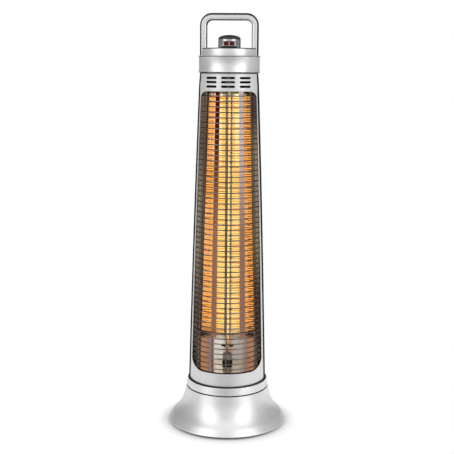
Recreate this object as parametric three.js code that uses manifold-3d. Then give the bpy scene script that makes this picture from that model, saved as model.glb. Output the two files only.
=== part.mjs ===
// A free-standing infrared heater tower: a flared round base, a slim tapering body with a caged
// heating lamp in front of a polished reflector, and a head with a carrying handle and switches.
// Millimetres, +Z up. The front faces -Y. The origin is on the floor, at the centre of the base.
import * as THREE from "three";
import { mergeVertices } from "three/addons/utils/BufferGeometryUtils.js";
import Module from "manifold-3d";

const wasm = await Module();
wasm.setup();

// ---------- Driving dimensions ----------
const fit = 0.3; // gap between pieces that rest on, or sit in, each other
const sheet = 1.5; // thickness of the body's two painted panels
const beyond = 5; // how far a cutter reaches past what it cuts

const overallHeight = 617; // floor to the top of the handle
const baseRadius = 90; // rim of the flared base
const bellHeight = 56;
const bellTopRadius = 62.6;
const bellWall = 2;
const bellFlangeInner = 46; // inner radius of the flange that carries the tower
const bellRimBottom = 3.4;
const bellRimEdge = 1; // height of the rim's upright edge
const lipHeight = 12.5; // where the flare turns into the rim's lip
const lipWidth = 5.6;
const flareEven = 0.436; // share of the flare that spreads evenly from top to lip
const flarePower = 3.6; // how late the rest of the flare spreads

const footHeight = 2.1;
const footRadius = 8;
const footCount = 4;
const footCircle = 68;
const basePlateThickness = 4;
const ballastHeight = 10;
const ballastInner = 46;
const baseScrewCount = 3;
const baseScrewCircle = 58;
const baseScrewRadius = 1.8;
const baseScrewHead = 1.2; // height of the head
const baseScrewShort = 1; // screw end to the top of the ballast

const gasketThickness = 0.8;
const gasketInset = 1.4; // lower gasket's edge inside the collar's
const gasketLedge = 3.4; // how far the upper gaskets reach inside the bar's legs
const collarHeight = 11.3;
const collarTopRadius = 60.5;
const collarWall = 1.2; // at its thin upper edge
const towerDiscThickness = 4;
const towerDiscBore = 20; // radius of the way for the leads
const towerBoltRadius = 3;
const towerBoltLength = 24;

const bodyTopRadius = 43.2;
const bodyBottomRadius = 58.6;
const bodyBulge = 0.25; // share of the taper by which the side line bows outwards

const barWidth = 10; // across the flat bar of the frame and handle
const barDepth = 20;
const barEdge = 3; // rounding of the bar's long edges
const handleCorner = 17.5; // outer bend radius
const barDrawIn = 14; // length over which the bar draws in to the handle's width
const handleRise = 50; // lid to handle top

const bandHeight = 24.3;
const bandStandOut = 1.8; // head band beyond the top of the body
const bandWall = 1.4;
const bandRim = 1.2; // height of the bevel at the band's two rims
const bandRecess = 0.4; // depth of that bevel
const legInset = 1; // inside of the band to the bar's legs
const lidHeight = 10.4;
const lidInset = 4; // lid's side inside the band's
const lidSeat = 5; // width of the flange that carries the lid
const lidWall = 1.6;
const lidEdge = 2.2;
const deckThickness = 2;
const deckBore = 11;

const windowTopDrop = 24.6; // body top to window top
const windowBottomRise = 18.5; // body bottom to window bottom
const windowShare = 0.92; // window half-width as a share of the body radius
const windowTopCorner = 10;
const windowBottomCorner = 16;
const ventHeight = 3.3;
const ventDrops = [6.2, 12.1, 18.5]; // body top to the middle of each row of vents
const ventSpans = [
  [-32, -16.5],
  [-10, 10],
  [16.5, 32],
];
const rearVentRows = 5;
const rearVentPitch = 11;
const rearVentHalfWidth = 22;
const rearVentHeight = 3.5;
const rearVentTopDrop = 31; // body top to the highest rear vent, which lies behind the reflector
const rearVentBottomRise = 25; // body bottom to the lowest one

const wire = 2; // diameter of the grille's wires
const hoopPitch = 7.75;
const hoopInset = 7.2; // window edge to the nearest hoop
const wireEdge = wire * 0.58; // middle to corner of a wire's three-sided section
const wireWeld = 0.45; // how deep a post and a hoop melt into each other
const hoopReach = 69; // degrees from the front to a hoop's end
const postAngle = 53.5;
const supportHoopRise = 61; // window bottom to the support hoop
const supportHoopHeight = 3;
const supportHoopThickness = 1.2;
const supportHoopShort = 6; // degrees by which it stops before the hoops do
const postClear = 1; // post foot to the floor plate
const postTopDrop = 2; // body top to the middle post's top

const reflectorSheet = 0.8;
const innerFocus = 0.35; // focal lengths and band limits are shares of the body radius
const outerFocus = 0.5;
const innerBand = 0.32;
const outerBandStart = (innerBand * outerFocus) / innerFocus; // the step points at the lamp
const outerBandTurn = 1.3; // degrees by which the outer strips turn outwards about the lamp
const outerBandEnd = 0.865; // share of the clear half-width between the bar's legs
const flangeSide = 0.81; // front edge of the reflector's side flange, from the middle
const flangeFront = 0.34; // and how far it lies in front of the axis
const plateThickness = 1;
const ceilingRise = 2; // window top to the ceiling plate

const tubeRadius = 5;
const tubeWall = 1;
const coilRadius = 2.25;
const coilEndClear = 21; // from a tube end to the coil
const stemLength = 6; // metal end caps inside the tube
const ceramicWall = 1.5;
const ceramicHeight = 9;
const ceramicSeat = 5; // how deep the tube sits in the ceramic
const clampHeight = 5.5;
const clampHalfWidth = 8;
const clampHalfDepth = 4;
const clipHeight = 3;
const clipWall = 1;
const clipEar = 3; // how far each ear stands out
const clipMouth = 6;
const clipFoot = 4;
const clipRise = 26; // floor plate to the lamp clip

const podRadius = 16.3;
const podWall = 1.6;
const podWallHeight = 12.3;
const podCapHeight = 6.6;
const nicheTop = 9.6; // pod foot to the top of the niche
const nicheTopHalfWidth = 9;
const nicheFootHalfWidth = 11.3;
const sillHeight = 1.7;
const switchPlateFront = 12.6; // distance of the switch plate in front of the axis
const switchPlateThickness = 1.2;
const rockerWidth = 6.4;
const rockerHeight = 4.8;
const rockerDepth = 2.6;
const rockerDip = 0.45; // depth of the shallow V in a rocker's face
const rockerTilt = 8; // degrees each way from level
const rockerSpacing = 8.4;
const rockerRake = 0.6; // how much a rocker's back is lower than its face, at each end
const rockerPivotDepth = 0.6; // switch plate's face to the pivot line
const switchBodyWidth = 7.2;
const switchBodyDepth = 8;
const switchBodyHeight = 6;

const tipSwitchY = 26;
const tipStemRadius = 3;
const tipHeadRadius = 4.2;
const tipHeadHeight = 2;
const tipTravel = 6;
const tipStop = 1; // plunger head to the base plate when it is fully out
const tipBodySize = 16;
const tipBodyHeight = 24;
const tipBodyRoof = 3;
const tipSpringTurns = 5;
const tipSpringWire = 0.8;

const glandHeight = 28;
const glandRadius = 5.5;
const glandBore = 3.2;
const glandHexRadius = 8;
const glandHexLength = 6;
const nutLength = 4.5;
const nutStandOff = 1.3; // nut to the sloping wall, at its closest
const glandThreadEnd = 0.7; // thread that shows behind the nut

const leadRadius = 1.4;
const terminalWidth = 26;
const terminalDepth = 10;
const terminalHeight = 8;
const terminalFront = 14; // distance behind the axis
const terminalSlot = 1.6;
const terminalPitch = 9;
const cutoutRadius = 6;
const cutoutHeight = 3;
const cutoutTagWidth = 3;
const cutoutTagDepth = 8;
const cutoutTagHeight = 7;
const cutoutPlace = 14; // behind the axis, and to its right

const panelScrewOffset = 3.5; // either side of the bar's middle line
const panelScrewRadius = 1.5;
const panelScrewHead = 3;
const panelScrewHeadDepth = 1.8;
const panelScrewRim = 0.6; // upright edge of the countersunk head
const panelScrewInset = 40; // from the ends of the body
const screwStagger = 16; // between the front panel's and the rear cover's screws
const tabHeight = 12;
const tabMargin = 0.5; // tab edge to the screw's head
const tabWeld = 0.4; // how far a tab stays under the panel's outer face

const bigSteps = 32; // facets round a large ring
const smallSteps = 12; // facets round a small one
const screwSides = 10;
const levels = 7; // steps up the body's curved side
const degree = Math.PI / 180;

const panelScrewLength = barWidth + sheet + 2 * fit; // through the bar and a panel's tab
const bandRadius = bodyTopRadius + bandStandOut;
const handleHalfWidth = bandRadius - bandWall - legInset;
const lidRadius = bandRadius - lidInset;

// ---------- Levels, from the floor up and from the handle down ----------
const basePlateBottom = footHeight + fit;
const basePlateTop = basePlateBottom + basePlateThickness;
const ballastBottom = basePlateTop + fit;
const ballastTop = ballastBottom + ballastHeight;
const lowerGasketBottom = bellHeight + fit;
const lowerGasketTop = lowerGasketBottom + gasketThickness;
const collarBottom = lowerGasketTop + fit;
const collarTop = collarBottom + collarHeight;
const upperGasketBottom = collarTop + fit;
const bodyBottom = upperGasketBottom + gasketThickness + fit;
const towerDiscTop = collarBottom + towerDiscThickness;
const railBottom = towerDiscTop + fit;

const lidTop = overallHeight - handleRise;
const lidBottom = lidTop - lidHeight;
const bandTop = lidBottom - fit;
const bandBottom = bandTop - bandHeight;
const headGasketBottom = bandBottom - fit - gasketThickness;
const bodyTop = headGasketBottom - fit;
const deckBottom = bandBottom + fit;
const deckTop = deckBottom + deckThickness;
const podFoot = lidTop + fit;
const podWallTop = podFoot + podWallHeight;

const windowTop = bodyTop - windowTopDrop;
const windowBottom = bodyBottom + windowBottomRise;
const floorTop = windowBottom + plateThickness;
const ceilingBottom = windowTop + ceilingRise;
const clampBottom = floorTop + fit;
const lowerCeramicBottom = clampBottom + clampHeight + fit;
const tubeBottom = lowerCeramicBottom + ceramicHeight - ceramicSeat;
const upperClampBottom = ceilingBottom + plateThickness + fit;
const upperCeramicBottom = upperClampBottom + clampHeight + fit;
const tubeTop = upperCeramicBottom + ceramicSeat;

// ---------- Curves shared by the pieces ----------
// Radius of the body's round skin at a height.
function bodyRadius(z) {
  const fall = THREE.MathUtils.clamp((bodyTop - z) / (bodyTop - bodyBottom), 0, 1);
  return bodyTopRadius + (bodyBottomRadius - bodyTopRadius) * (fall + bodyBulge * fall * (1 - fall));
}

// Outer face of the frame bar at a height: the body's side, then the narrower handle. It draws
// in just below the head, so that the legs pass inside the head band.
function barOuter(z) {
  const rise = THREE.MathUtils.clamp((z - bodyTop + barDrawIn) / barDrawIn, 0, 1);
  return THREE.MathUtils.lerp(bodyRadius(z), handleHalfWidth, rise);
}

// Outside of the flared base: a flare that steepens towards the floor, then a straighter lip.
function bellRadius(z) {
  const lipRadius = baseRadius - lipWidth;
  if (z < lipHeight) {
    const down = Math.min((lipHeight - z) / (lipHeight - bellRimBottom - bellRimEdge), 1);
    return THREE.MathUtils.lerp(lipRadius, baseRadius, down);
  }
  const down = (bellHeight - z) / (bellHeight - lipHeight);
  const share = flareEven * down + (1 - flareEven) * Math.pow(down, flarePower);
  return THREE.MathUtils.lerp(bellTopRadius, lipRadius, share);
}

// Centre line of the grille's hoops, just inside the front panel.
function hoopRadius(z) {
  return bodyRadius(z) - sheet - fit - wireEdge;
}

// Evenly spaced values from a to b, both included.
function spread(a, b, steps) {
  return Array.from({ length: steps + 1 }, (_, i) => a + ((b - a) * i) / steps);
}

// Places of count copies on a circle, the first one turned by start degrees from +X.
function ring(count, radius, start) {
  return Array.from({ length: count }, (_, i) => {
    const turn = (start + (360 * i) / count) * degree;
    return [radius * Math.cos(turn), radius * Math.sin(turn)];
  });
}

// ---------- Solids ----------
function solid(geometry) {
  const bare = geometry.index ? geometry.toNonIndexed() : geometry.clone();
  bare.deleteAttribute("normal");
  bare.deleteAttribute("uv");
  const merged = mergeVertices(bare, 1e-4);
  const mesh = new wasm.Mesh({
    numProp: 3,
    vertProperties: merged.attributes.position.array,
    triVerts: new Uint32Array(merged.index.array),
  });
  return new wasm.Manifold(mesh);
}

function geometryOf(body) {
  const mesh = body.getMesh();
  const geometry = new THREE.BufferGeometry();
  geometry.setAttribute("position", new THREE.BufferAttribute(mesh.vertProperties, 3));
  geometry.setIndex(new THREE.BufferAttribute(mesh.triVerts, 1));
  const flat = geometry.toNonIndexed();
  flat.computeVertexNormals();
  return flat;
}

// A profile of [radius, height] points turned about Z. Points run anticlockwise.
function turned(profile, steps = bigSteps) {
  const points = profile.map(([r, z]) => new THREE.Vector2(r, z));
  return solid(new THREE.LatheGeometry(points, steps).rotateX(Math.PI / 2));
}

function closed(profile) {
  return [...profile, profile[0]];
}

function rod(radius, z0, z1, steps = smallSteps) {
  return turned([[0, z0], [radius, z0], [radius, z1], [0, z1]], steps);
}

function pipe(inner, outer, z0, z1, steps = smallSteps) {
  return turned(closed([[inner, z0], [outer, z0], [outer, z1], [inner, z1]]), steps);
}

// A block between two corners.
function block(low, high) {
  const size = high.map((value, i) => value - low[i]);
  const middle = high.map((value, i) => (value + low[i]) / 2);
  return solid(new THREE.BoxGeometry(...size).translate(...middle));
}

// A shape drawn in X and Z, run from y0 to y1.
function extrudedAlongY(shape, y0, y1) {
  const geometry = new THREE.ExtrudeGeometry(shape, {
    depth: y1 - y0,
    bevelEnabled: false,
    curveSegments: 2,
  });
  return solid(geometry.rotateX(Math.PI / 2).translate(0, y1, 0));
}

// A solid through closed loops of points. Each loop runs anticlockwise seen from the next one.
function lofted(loops) {
  const positions = [];
  const add = (...points) => points.forEach((p) => positions.push(p.x, p.y, p.z));
  for (let row = 0; row + 1 < loops.length; row += 1) {
    const a = loops[row];
    const b = loops[row + 1];
    a.forEach((_, i) => {
      const j = (i + 1) % a.length;
      add(a[i], a[j], b[j], a[i], b[j], b[i]);
    });
  }
  const first = loops[0];
  const last = loops[loops.length - 1];
  capOf(first).forEach(([i, j, k]) => add(first[i], first[k], first[j]));
  capOf(last).forEach(([i, j, k]) => add(last[i], last[j], last[k]));
  const geometry = new THREE.BufferGeometry();
  geometry.setAttribute("position", new THREE.Float32BufferAttribute(positions, 3));
  return solid(geometry);
}

// Triangles over a flat closed loop, anticlockwise as the loop is.
function capOf(loop) {
  const normal = new THREE.Vector3();
  loop.forEach((p, i) => normal.add(p.clone().cross(loop[(i + 1) % loop.length])));
  normal.normalize();
  const along = loop[1].clone().sub(loop[0]).normalize();
  const across = normal.clone().cross(along);
  const flat = loop.map((p) => new THREE.Vector2(p.dot(along), p.dot(across)));
  return THREE.ShapeUtils.triangulateShape(flat, []);
}

// Corners of a flat strip's section, as [outwards, sideways] offsets, anticlockwise.
function flatSection(thick, wide) {
  return [[-1, -1], [1, -1], [1, 1], [-1, 1]].map(([u, v]) => [(u * thick) / 2, (v * wide) / 2]);
}

// A bar up the body at an angle from the front, following the body's side line.
function uprightBar(angle, radiusAt, section, z0, z1) {
  const turn = angle * degree;
  const out = new THREE.Vector3(Math.sin(turn), -Math.cos(turn), 0);
  const side = new THREE.Vector3(Math.cos(turn), Math.sin(turn), 0);
  const loops = spread(z0, z1, levels).map((z) =>
    section.map(([u, v]) => out.clone().multiplyScalar(radiusAt(z) + u).addScaledVector(side, v).setZ(z)),
  );
  return lofted(loops);
}

// A hoop round the front of the body, through the given angles from the front.
function frontHoop(z, radius, section, angles) {
  const loops = angles.map((angle) =>
    section.map(([u, v]) => {
      const turn = angle * degree;
      const r = radius + u;
      return new THREE.Vector3(r * Math.sin(turn), -r * Math.cos(turn), z - v);
    }),
  );
  return lofted(loops);
}

function joined(bodies) {
  return bodies.reduce((all, next) => all.add(next));
}

// ---------- Base ----------
function baseBell() {
  const flare = spread(lipHeight, bellHeight, 5);
  const rimTop = bellRimBottom + bellRimEdge;
  const outside = [[baseRadius, bellRimBottom], [baseRadius, rimTop]];
  outside.push(...flare.map((z) => [bellRadius(z), z]));
  const underFlange = bellHeight - bellWall;
  const inside = spread(underFlange, lipHeight, 3).map((z) => [bellRadius(z) - bellWall, z]);
  inside.push([baseRadius - bellWall, rimTop], [baseRadius - bellWall, bellRimBottom]);
  const flange = [[bellFlangeInner, bellHeight], [bellFlangeInner, underFlange]];
  const shell = turned(closed([...outside, ...flange, ...inside]));
  const glandHole = alongY(rod(glandRadius + fit, 0, baseRadius), 0, glandHeight);
  const boltHoles = towerBoltPlaces().map((x) =>
    rod(towerBoltRadius + fit, underFlange - beyond, bellHeight + beyond).translate([x, 0, 0]),
  );
  return shell.subtract(joined([glandHole, ...boltHoles]));
}

// A piece made along +Z, laid down to run from the axis towards +Y at a height.
function alongY(body, x, z) {
  return body.rotate([-90, 0, 0]).translate([x, 0, z]);
}

function basePlate() {
  const radius = bellRadius(basePlateTop) - bellWall - 1.5 * fit;
  const disc = rod(radius, basePlateBottom, basePlateTop, bigSteps);
  const cuts = baseScrewPlaces().map(([x, y]) => baseScrewHole().translate([x, y, 0]));
  const stemHole = rod(tipStemRadius + fit, 0, basePlateTop + beyond).translate([0, tipSwitchY, 0]);
  return disc.subtract(joined([...cuts, stemHole]));
}

function baseScrewPlaces() {
  return ring(baseScrewCount, baseScrewCircle, 90);
}

function baseScrewHole() {
  return rod(baseScrewRadius + fit, basePlateBottom - beyond, ballastTop + beyond);
}

function baseScrew() {
  const seat = basePlateBottom - fit;
  const headRadius = baseScrewRadius * 2;
  const end = ballastTop - baseScrewShort;
  const profile = [
    [0, seat - baseScrewHead],
    [headRadius, seat - baseScrewHead],
    [headRadius, seat],
    [baseScrewRadius, seat],
    [baseScrewRadius, end],
    [0, end],
  ];
  return turned(profile, smallSteps);
}

function ballastRing() {
  const outer = bellRadius(ballastTop) - bellWall - 2 * fit;
  const body = pipe(ballastInner, outer, ballastBottom, ballastTop, bigSteps);
  return body.subtract(joined(baseScrewPlaces().map(([x, y]) => baseScrewHole().translate([x, y, 0]))));
}

function foot() {
  const edge = 0.6;
  const profile = [
    [0, 0],
    [footRadius - edge, 0],
    [footRadius, edge],
    [footRadius, footHeight],
    [0, footHeight],
  ];
  return turned(profile, smallSteps);
}

// Levels inside the tip-over switch, in its own bore.
const tipHeadBottom = basePlateTop + tipTravel + tipStop;
const tipHeadTop = tipHeadBottom + tipHeadHeight;
const tipBodyBottom = basePlateTop + fit;
const tipBoreTop = tipBodyBottom + tipBodyHeight - tipBodyRoof;

function tipSwitchBody() {
  const half = tipBodySize / 2;
  const shell = block([-half, -half, tipBodyBottom], [half, half, tipBodyBottom + tipBodyHeight]);
  const bore = rod(tipHeadRadius + fit, tipBodyBottom - beyond, tipBoreTop);
  return shell.subtract(bore);
}

function tipPlunger() {
  const profile = [
    [0, fit],
    [tipStemRadius - 1, fit],
    [tipStemRadius, fit + 1],
    [tipStemRadius, tipHeadBottom],
    [tipHeadRadius, tipHeadBottom],
    [tipHeadRadius, tipHeadTop],
    [0, tipHeadTop],
  ];
  return turned(profile, smallSteps);
}

class Helix extends THREE.Curve {
  constructor(radius, z0, z1, turns) {
    super();
    this.radius = radius;
    this.z0 = z0;
    this.z1 = z1;
    this.turns = turns;
  }

  getPoint(t) {
    const turn = 2 * Math.PI * this.turns * t;
    const z = THREE.MathUtils.lerp(this.z0, this.z1, t);
    return new THREE.Vector3(this.radius * Math.cos(turn), this.radius * Math.sin(turn), z);
  }
}

// A round section with a few sides, run along a path.
function swept(path, radius, sides, steps) {
  const section = new THREE.Shape(ring(sides, radius, 0).map(([x, y]) => new THREE.Vector2(x, y)));
  return solid(new THREE.ExtrudeGeometry(section, { steps, extrudePath: path, bevelEnabled: false }));
}

function tipSpring() {
  const half = tipSpringWire / 2;
  const path = new Helix(
    tipHeadRadius - half - fit,
    tipHeadTop + fit + half,
    tipBoreTop - fit - half,
    tipSpringTurns,
  );
  return swept(path, half, 4, tipSpringTurns * 8);
}

// The gland's hexagon starts where the sloping wall of the base has ended.
const glandHexStart = bellRadius(glandHeight - glandHexRadius) + fit;
const glandNutEnd = bellRadius(glandHeight + glandHexRadius) - bellWall - nutStandOff;
const glandInnerEnd = glandNutEnd - nutLength - glandThreadEnd;

function cableGland() {
  const hexEnd = glandHexStart + glandHexLength;
  const hexagon = rod(glandHexRadius, glandHexStart, hexEnd, 6);
  const shank = rod(glandRadius, glandInnerEnd, hexEnd);
  const bore = rod(glandBore, glandInnerEnd - beyond, hexEnd + beyond);
  return alongY(hexagon.add(shank).subtract(bore), 0, glandHeight);
}

function glandNut() {
  const hexagon = rod(glandHexRadius, glandNutEnd - nutLength, glandNutEnd, 6);
  const bore = rod(glandRadius + fit, glandInnerEnd - beyond, glandNutEnd + beyond);
  return alongY(hexagon.subtract(bore), 0, glandHeight);
}

// ---------- Collar, where the tower stands on the base ----------
function towerBoltPlaces() {
  const middle = barOuter(railBottom) - barWidth / 2;
  return [-middle, middle];
}

// Room for both legs of the frame bar to pass through a level piece.
function legRoom(z0, z1) {
  const half = barDepth / 2 + fit;
  const inner = Math.min(barOuter(z0), barOuter(z1)) - barWidth - fit;
  const outer = bellTopRadius + beyond;
  return block([inner, -half, z0], [outer, half, z1]).add(block([-outer, -half, z0], [-inner, half, z1]));
}

const collarInner = collarTopRadius - collarWall;

function lowerGasket() {
  const outer = bellTopRadius - gasketInset;
  const body = pipe(bellFlangeInner, outer, lowerGasketBottom, lowerGasketTop, bigSteps);
  const holes = towerBoltPlaces().map((x) =>
    rod(towerBoltRadius + fit, bellHeight, collarBottom).translate([x, 0, 0]),
  );
  return body.subtract(joined(holes));
}

function upperGasket() {
  const top = upperGasketBottom + gasketThickness;
  const inner = bodyBottomRadius - barWidth - gasketLedge;
  const body = pipe(inner, collarTopRadius - gasketInset, upperGasketBottom, top, bigSteps);
  return body.subtract(legRoom(upperGasketBottom - 1, top + 1));
}

function collarRing() {
  const edge = 0.8;
  const profile = [
    [collarInner, collarBottom],
    [bellTopRadius - edge, collarBottom],
    [bellTopRadius, collarBottom + edge],
    [collarTopRadius, collarTop - edge / 2],
    [collarTopRadius - edge / 2, collarTop],
    [collarInner, collarTop],
  ];
  return turned(closed(profile));
}

function towerDisc() {
  const disc = pipe(towerDiscBore, collarInner - fit, collarBottom, towerDiscTop, bigSteps);
  const holes = towerBoltPlaces().map((x) =>
    rod(towerBoltRadius + fit, collarBottom - beyond, towerDiscTop + beyond).translate([x, 0, 0]),
  );
  return disc.subtract(joined(holes));
}

function towerBolt() {
  const seat = bellHeight - bellWall - fit;
  const headRadius = towerBoltRadius * 1.7;
  const profile = [
    [0, seat - towerBoltRadius],
    [headRadius, seat - towerBoltRadius],
    [headRadius, seat],
    [towerBoltRadius, seat],
    [towerBoltRadius, seat + towerBoltLength],
    [0, seat + towerBoltLength],
  ];
  return turned(profile, smallSteps);
}

// ---------- Frame ----------
// One flat bar, bent into an inverted U: its top is the handle and its legs are the tower's sides.
function barSide(inset) {
  const bodyLevels = [railBottom, ...spread(bodyBottom, bodyTop - barDrawIn, levels), bodyTop];
  const side = bodyLevels.map((z) => new THREE.Vector2(barOuter(z) - inset, z));
  const centre = new THREE.Vector2(handleHalfWidth - handleCorner, overallHeight - handleCorner);
  const bend = spread(0, 90, 6).map((angle) => {
    const r = handleCorner - inset;
    return new THREE.Vector2(r * Math.cos(angle * degree), r * Math.sin(angle * degree)).add(centre);
  });
  return [...side, ...bend];
}

function mirrored(points) {
  return points.map((p) => new THREE.Vector2(-p.x, p.y)).reverse();
}

function frameBar() {
  const outer = barSide(0);
  const inner = barSide(barWidth);
  const outline = [...outer, ...mirrored(outer), ...mirrored(inner).reverse(), ...inner.reverse()];
  const geometry = new THREE.ExtrudeGeometry(new THREE.Shape(outline), {
    depth: barDepth - 2 * barEdge,
    bevelEnabled: true,
    bevelThickness: barEdge,
    bevelSize: barEdge,
    bevelOffset: -barEdge,
    bevelSegments: 1,
  });
  const bar = solid(geometry.rotateX(Math.PI / 2).translate(0, barDepth / 2 - barEdge, 0));
  const boltHoles = towerBoltPlaces().map((x) =>
    rod(towerBoltRadius + fit, railBottom - beyond, bellHeight + towerBoltLength).translate([x, 0, 0]),
  );
  const screwHoles = panelScrewPlaces().map(({ side, y, z }) => panelScrewHole(side, y, z));
  return bar.subtract(joined([...boltHoles, ...screwHoles]));
}

// Two screws a side for the front panel, and two a side for the rear cover.
function panelScrewPlaces() {
  const low = bodyBottom + panelScrewInset;
  const high = bodyTop - panelScrewInset;
  const front = [low, high].map((z) => ({ y: -panelScrewOffset, z }));
  const rear = [low + screwStagger, high - screwStagger].map((z) => ({ y: panelScrewOffset, z }));
  return [-1, 1].flatMap((side) => [...front, ...rear].map((place) => ({ side, ...place })));
}

// Turns a piece made along -Z, with its head at the origin, to point in from the bar's outer face.
function intoBar(body, side, y, z) {
  return body.rotate([0, side * 90, 0]).translate([side * barOuter(z), y, z]);
}

function panelScrewHole(side, y, z) {
  const shank = rod(panelScrewRadius + fit, -barWidth - beyond, fit, screwSides);
  const head = rod(panelScrewHead + fit, -panelScrewHeadDepth - 2 * fit, beyond, screwSides);
  return intoBar(shank.add(head), side, y, z);
}

function panelScrew(side, y, z) {
  const top = -fit;
  const profile = [
    [0, -panelScrewLength],
    [panelScrewRadius, -panelScrewLength],
    [panelScrewRadius, top - panelScrewHeadDepth],
    [panelScrewHead, top - panelScrewRim],
    [panelScrewHead, top],
    [0, top],
  ];
  return intoBar(turned(profile, screwSides), side, y, z);
}

// ---------- Panels ----------
// The round skin of the body between two heights.
function bodySkin() {
  const rows = spread(bodyBottom, bodyTop, levels);
  const outside = rows.map((z) => [bodyRadius(z), z]);
  const inside = rows.map((z) => [bodyRadius(z) - sheet, z]).reverse();
  return turned(closed([...outside, ...inside]));
}

// The half of the skin in front of the bar, or behind it.
function halfSkin(front) {
  const edge = barDepth / 2 + fit;
  const far = bodyBottomRadius + bodyTopRadius;
  const low = front ? -far : edge;
  const high = front ? -edge : far;
  return bodySkin().intersect(block([-far, low, bodyBottom - 1], [far, high, bodyTop + 1]));
}

// L-shaped tabs that reach behind the bar, where the screws hold a panel.
function screwTabs(front) {
  const back = front ? -1 : 1;
  const places = panelScrewPlaces().filter(({ y }) => y * back > 0);
  const tabs = places.map(({ side, y, z }) => {
    const radius = bodyRadius(z);
    const inner = radius - barWidth - 2 * fit - sheet;
    const near = y - back * (panelScrewHead + tabMargin);
    const lip = back * (barDepth / 2 + fit);
    const low = z - tabHeight / 2;
    const high = z + tabHeight / 2;
    const reach = Math.sqrt((radius - sheet / 2) ** 2 - lip ** 2) - tabWeld;
    const ear = boxOf([side * inner, near, low], [side * (inner + sheet), lip + back * sheet, high]);
    const bridge = boxOf([side * inner, lip, low], [side * reach, lip + back * sheet, high]);
    const hole = rod(panelScrewRadius + fit, -panelScrewLength - beyond, 0, screwSides);
    return ear.add(bridge).subtract(intoBar(hole, side, y, z));
  });
  return joined(tabs);
}

// A block between any two opposite corners.
function boxOf(a, b) {
  return block(
    a.map((value, i) => Math.min(value, b[i])),
    a.map((value, i) => Math.max(value, b[i])),
  );
}

// The window's outline in X and Z: its sides follow the body, its corners are round.
function windowOutline() {
  const half = (z) => windowShare * bodyRadius(z);
  const corner = (x, z, radius, from) =>
    spread(from, from + 90, 4).map((angle) => {
      const turn = angle * degree;
      return new THREE.Vector2(x + radius * Math.cos(turn), z + radius * Math.sin(turn));
    });
  const lowZ = windowBottom + windowBottomCorner;
  const highZ = windowTop - windowTopCorner;
  const lowCorner = corner(half(lowZ) - windowBottomCorner, lowZ, windowBottomCorner, -90);
  const highCorner = corner(half(highZ) - windowTopCorner, highZ, windowTopCorner, 0);
  const side = spread(lowZ, highZ, 5).slice(1, -1).map((z) => new THREE.Vector2(half(z), z));
  const right = [...lowCorner, ...side, ...highCorner];
  return new THREE.Shape([...right, ...mirrored(right)]);
}

function slot(x0, x1, z, height) {
  const r = height / 2;
  const shape = new THREE.Shape();
  shape.absarc(x1 - r, z, r, -Math.PI / 2, Math.PI / 2, false);
  shape.absarc(x0 + r, z, r, Math.PI / 2, (3 * Math.PI) / 2, false);
  return shape;
}

function frontPanel() {
  const far = -bodyBottomRadius - beyond;
  const window = extrudedAlongY(windowOutline(), far, 0);
  const vents = ventDrops.flatMap((drop) =>
    ventSpans.map(([x0, x1]) => extrudedAlongY(slot(x0, x1, bodyTop - drop, ventHeight), far, 0)),
  );
  return halfSkin(true).subtract(joined([window, ...vents])).add(screwTabs(true));
}

function rearCover() {
  const far = bodyBottomRadius + beyond;
  const rows = spread(0, (rearVentRows - 1) * rearVentPitch, rearVentRows - 1);
  const starts = [bodyTop - rearVentTopDrop - rows[rows.length - 1], bodyBottom + rearVentBottomRise];
  const vents = starts.flatMap((start) =>
    rows.map((rise) => {
      const shape = slot(-rearVentHalfWidth, rearVentHalfWidth, start + rise, rearVentHeight);
      return extrudedAlongY(shape, 0, far);
    }),
  );
  return halfSkin(false).subtract(joined(vents)).add(screwTabs(false));
}

// ---------- Grille ----------
// Hoops welded to three posts behind them. The hoop ends hook behind the window's side edges.
function grille() {
  const top = windowTop - hoopInset;
  const count = Math.floor((top - windowBottom - hoopInset) / hoopPitch) + 1;
  const half = [postAngle / 2, postAngle, hoopReach];
  const angles = [...half.map((angle) => -angle).reverse(), 0, ...half];
  const hoops = Array.from({ length: count }, (_, i) => {
    const z = top - i * hoopPitch;
    return frontHoop(z, hoopRadius(z), ring(3, wireEdge, 180), angles);
  });
  const postRadius = (z) => hoopRadius(z) - 2 * wireEdge + wireWeld;
  const low = floorTop + postClear;
  const posts = [-postAngle, 0, postAngle].map((angle) => {
    const high = angle ? windowTop + postClear : bodyTop - postTopDrop;
    return uprightBar(angle, postRadius, ring(3, wireEdge, 0), low, high);
  });
  return joined([...hoops, ...posts]);
}

function supportHoop() {
  const z = windowBottom + supportHoopRise;
  const radius = hoopRadius(z) - wire - fit - supportHoopThickness;
  const reach = hoopReach - supportHoopShort;
  const section = flatSection(supportHoopThickness, supportHoopHeight);
  return frontHoop(z, radius, section, spread(-reach, reach, 12));
}

// ---------- Reflector ----------
// Half of the reflector's section for a body radius, from the middle ridge out to the side flange.
function reflectorHalf(radius) {
  const parabola = (focus, x) => focus * radius - (x * radius) ** 2 / (4 * focus * radius);
  const inner = spread(0, innerBand, 3).map((x) => [x * radius, parabola(innerFocus, x)]);
  const bandEnd = outerBandEnd * (1 - barWidth / radius);
  const turn = -THREE.MathUtils.degToRad(outerBandTurn);
  const outer = spread(outerBandStart, bandEnd, 3).map((x) => {
    const point = new THREE.Vector2(x * radius, parabola(outerFocus, x));
    return point.rotateAround(new THREE.Vector2(), turn).toArray();
  });
  const cornerX = radius - barWidth - sheet - reflectorSheet - 4 * fit;
  const cornerY = -barDepth / 2 - sheet - reflectorSheet - 3 * fit;
  const corner = [cornerX, cornerY];
  const flange = [flangeSide * radius, -flangeFront * radius];
  return [...inner, ...outer, corner, flange].map(([x, y]) => new THREE.Vector2(x, y));
}

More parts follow.
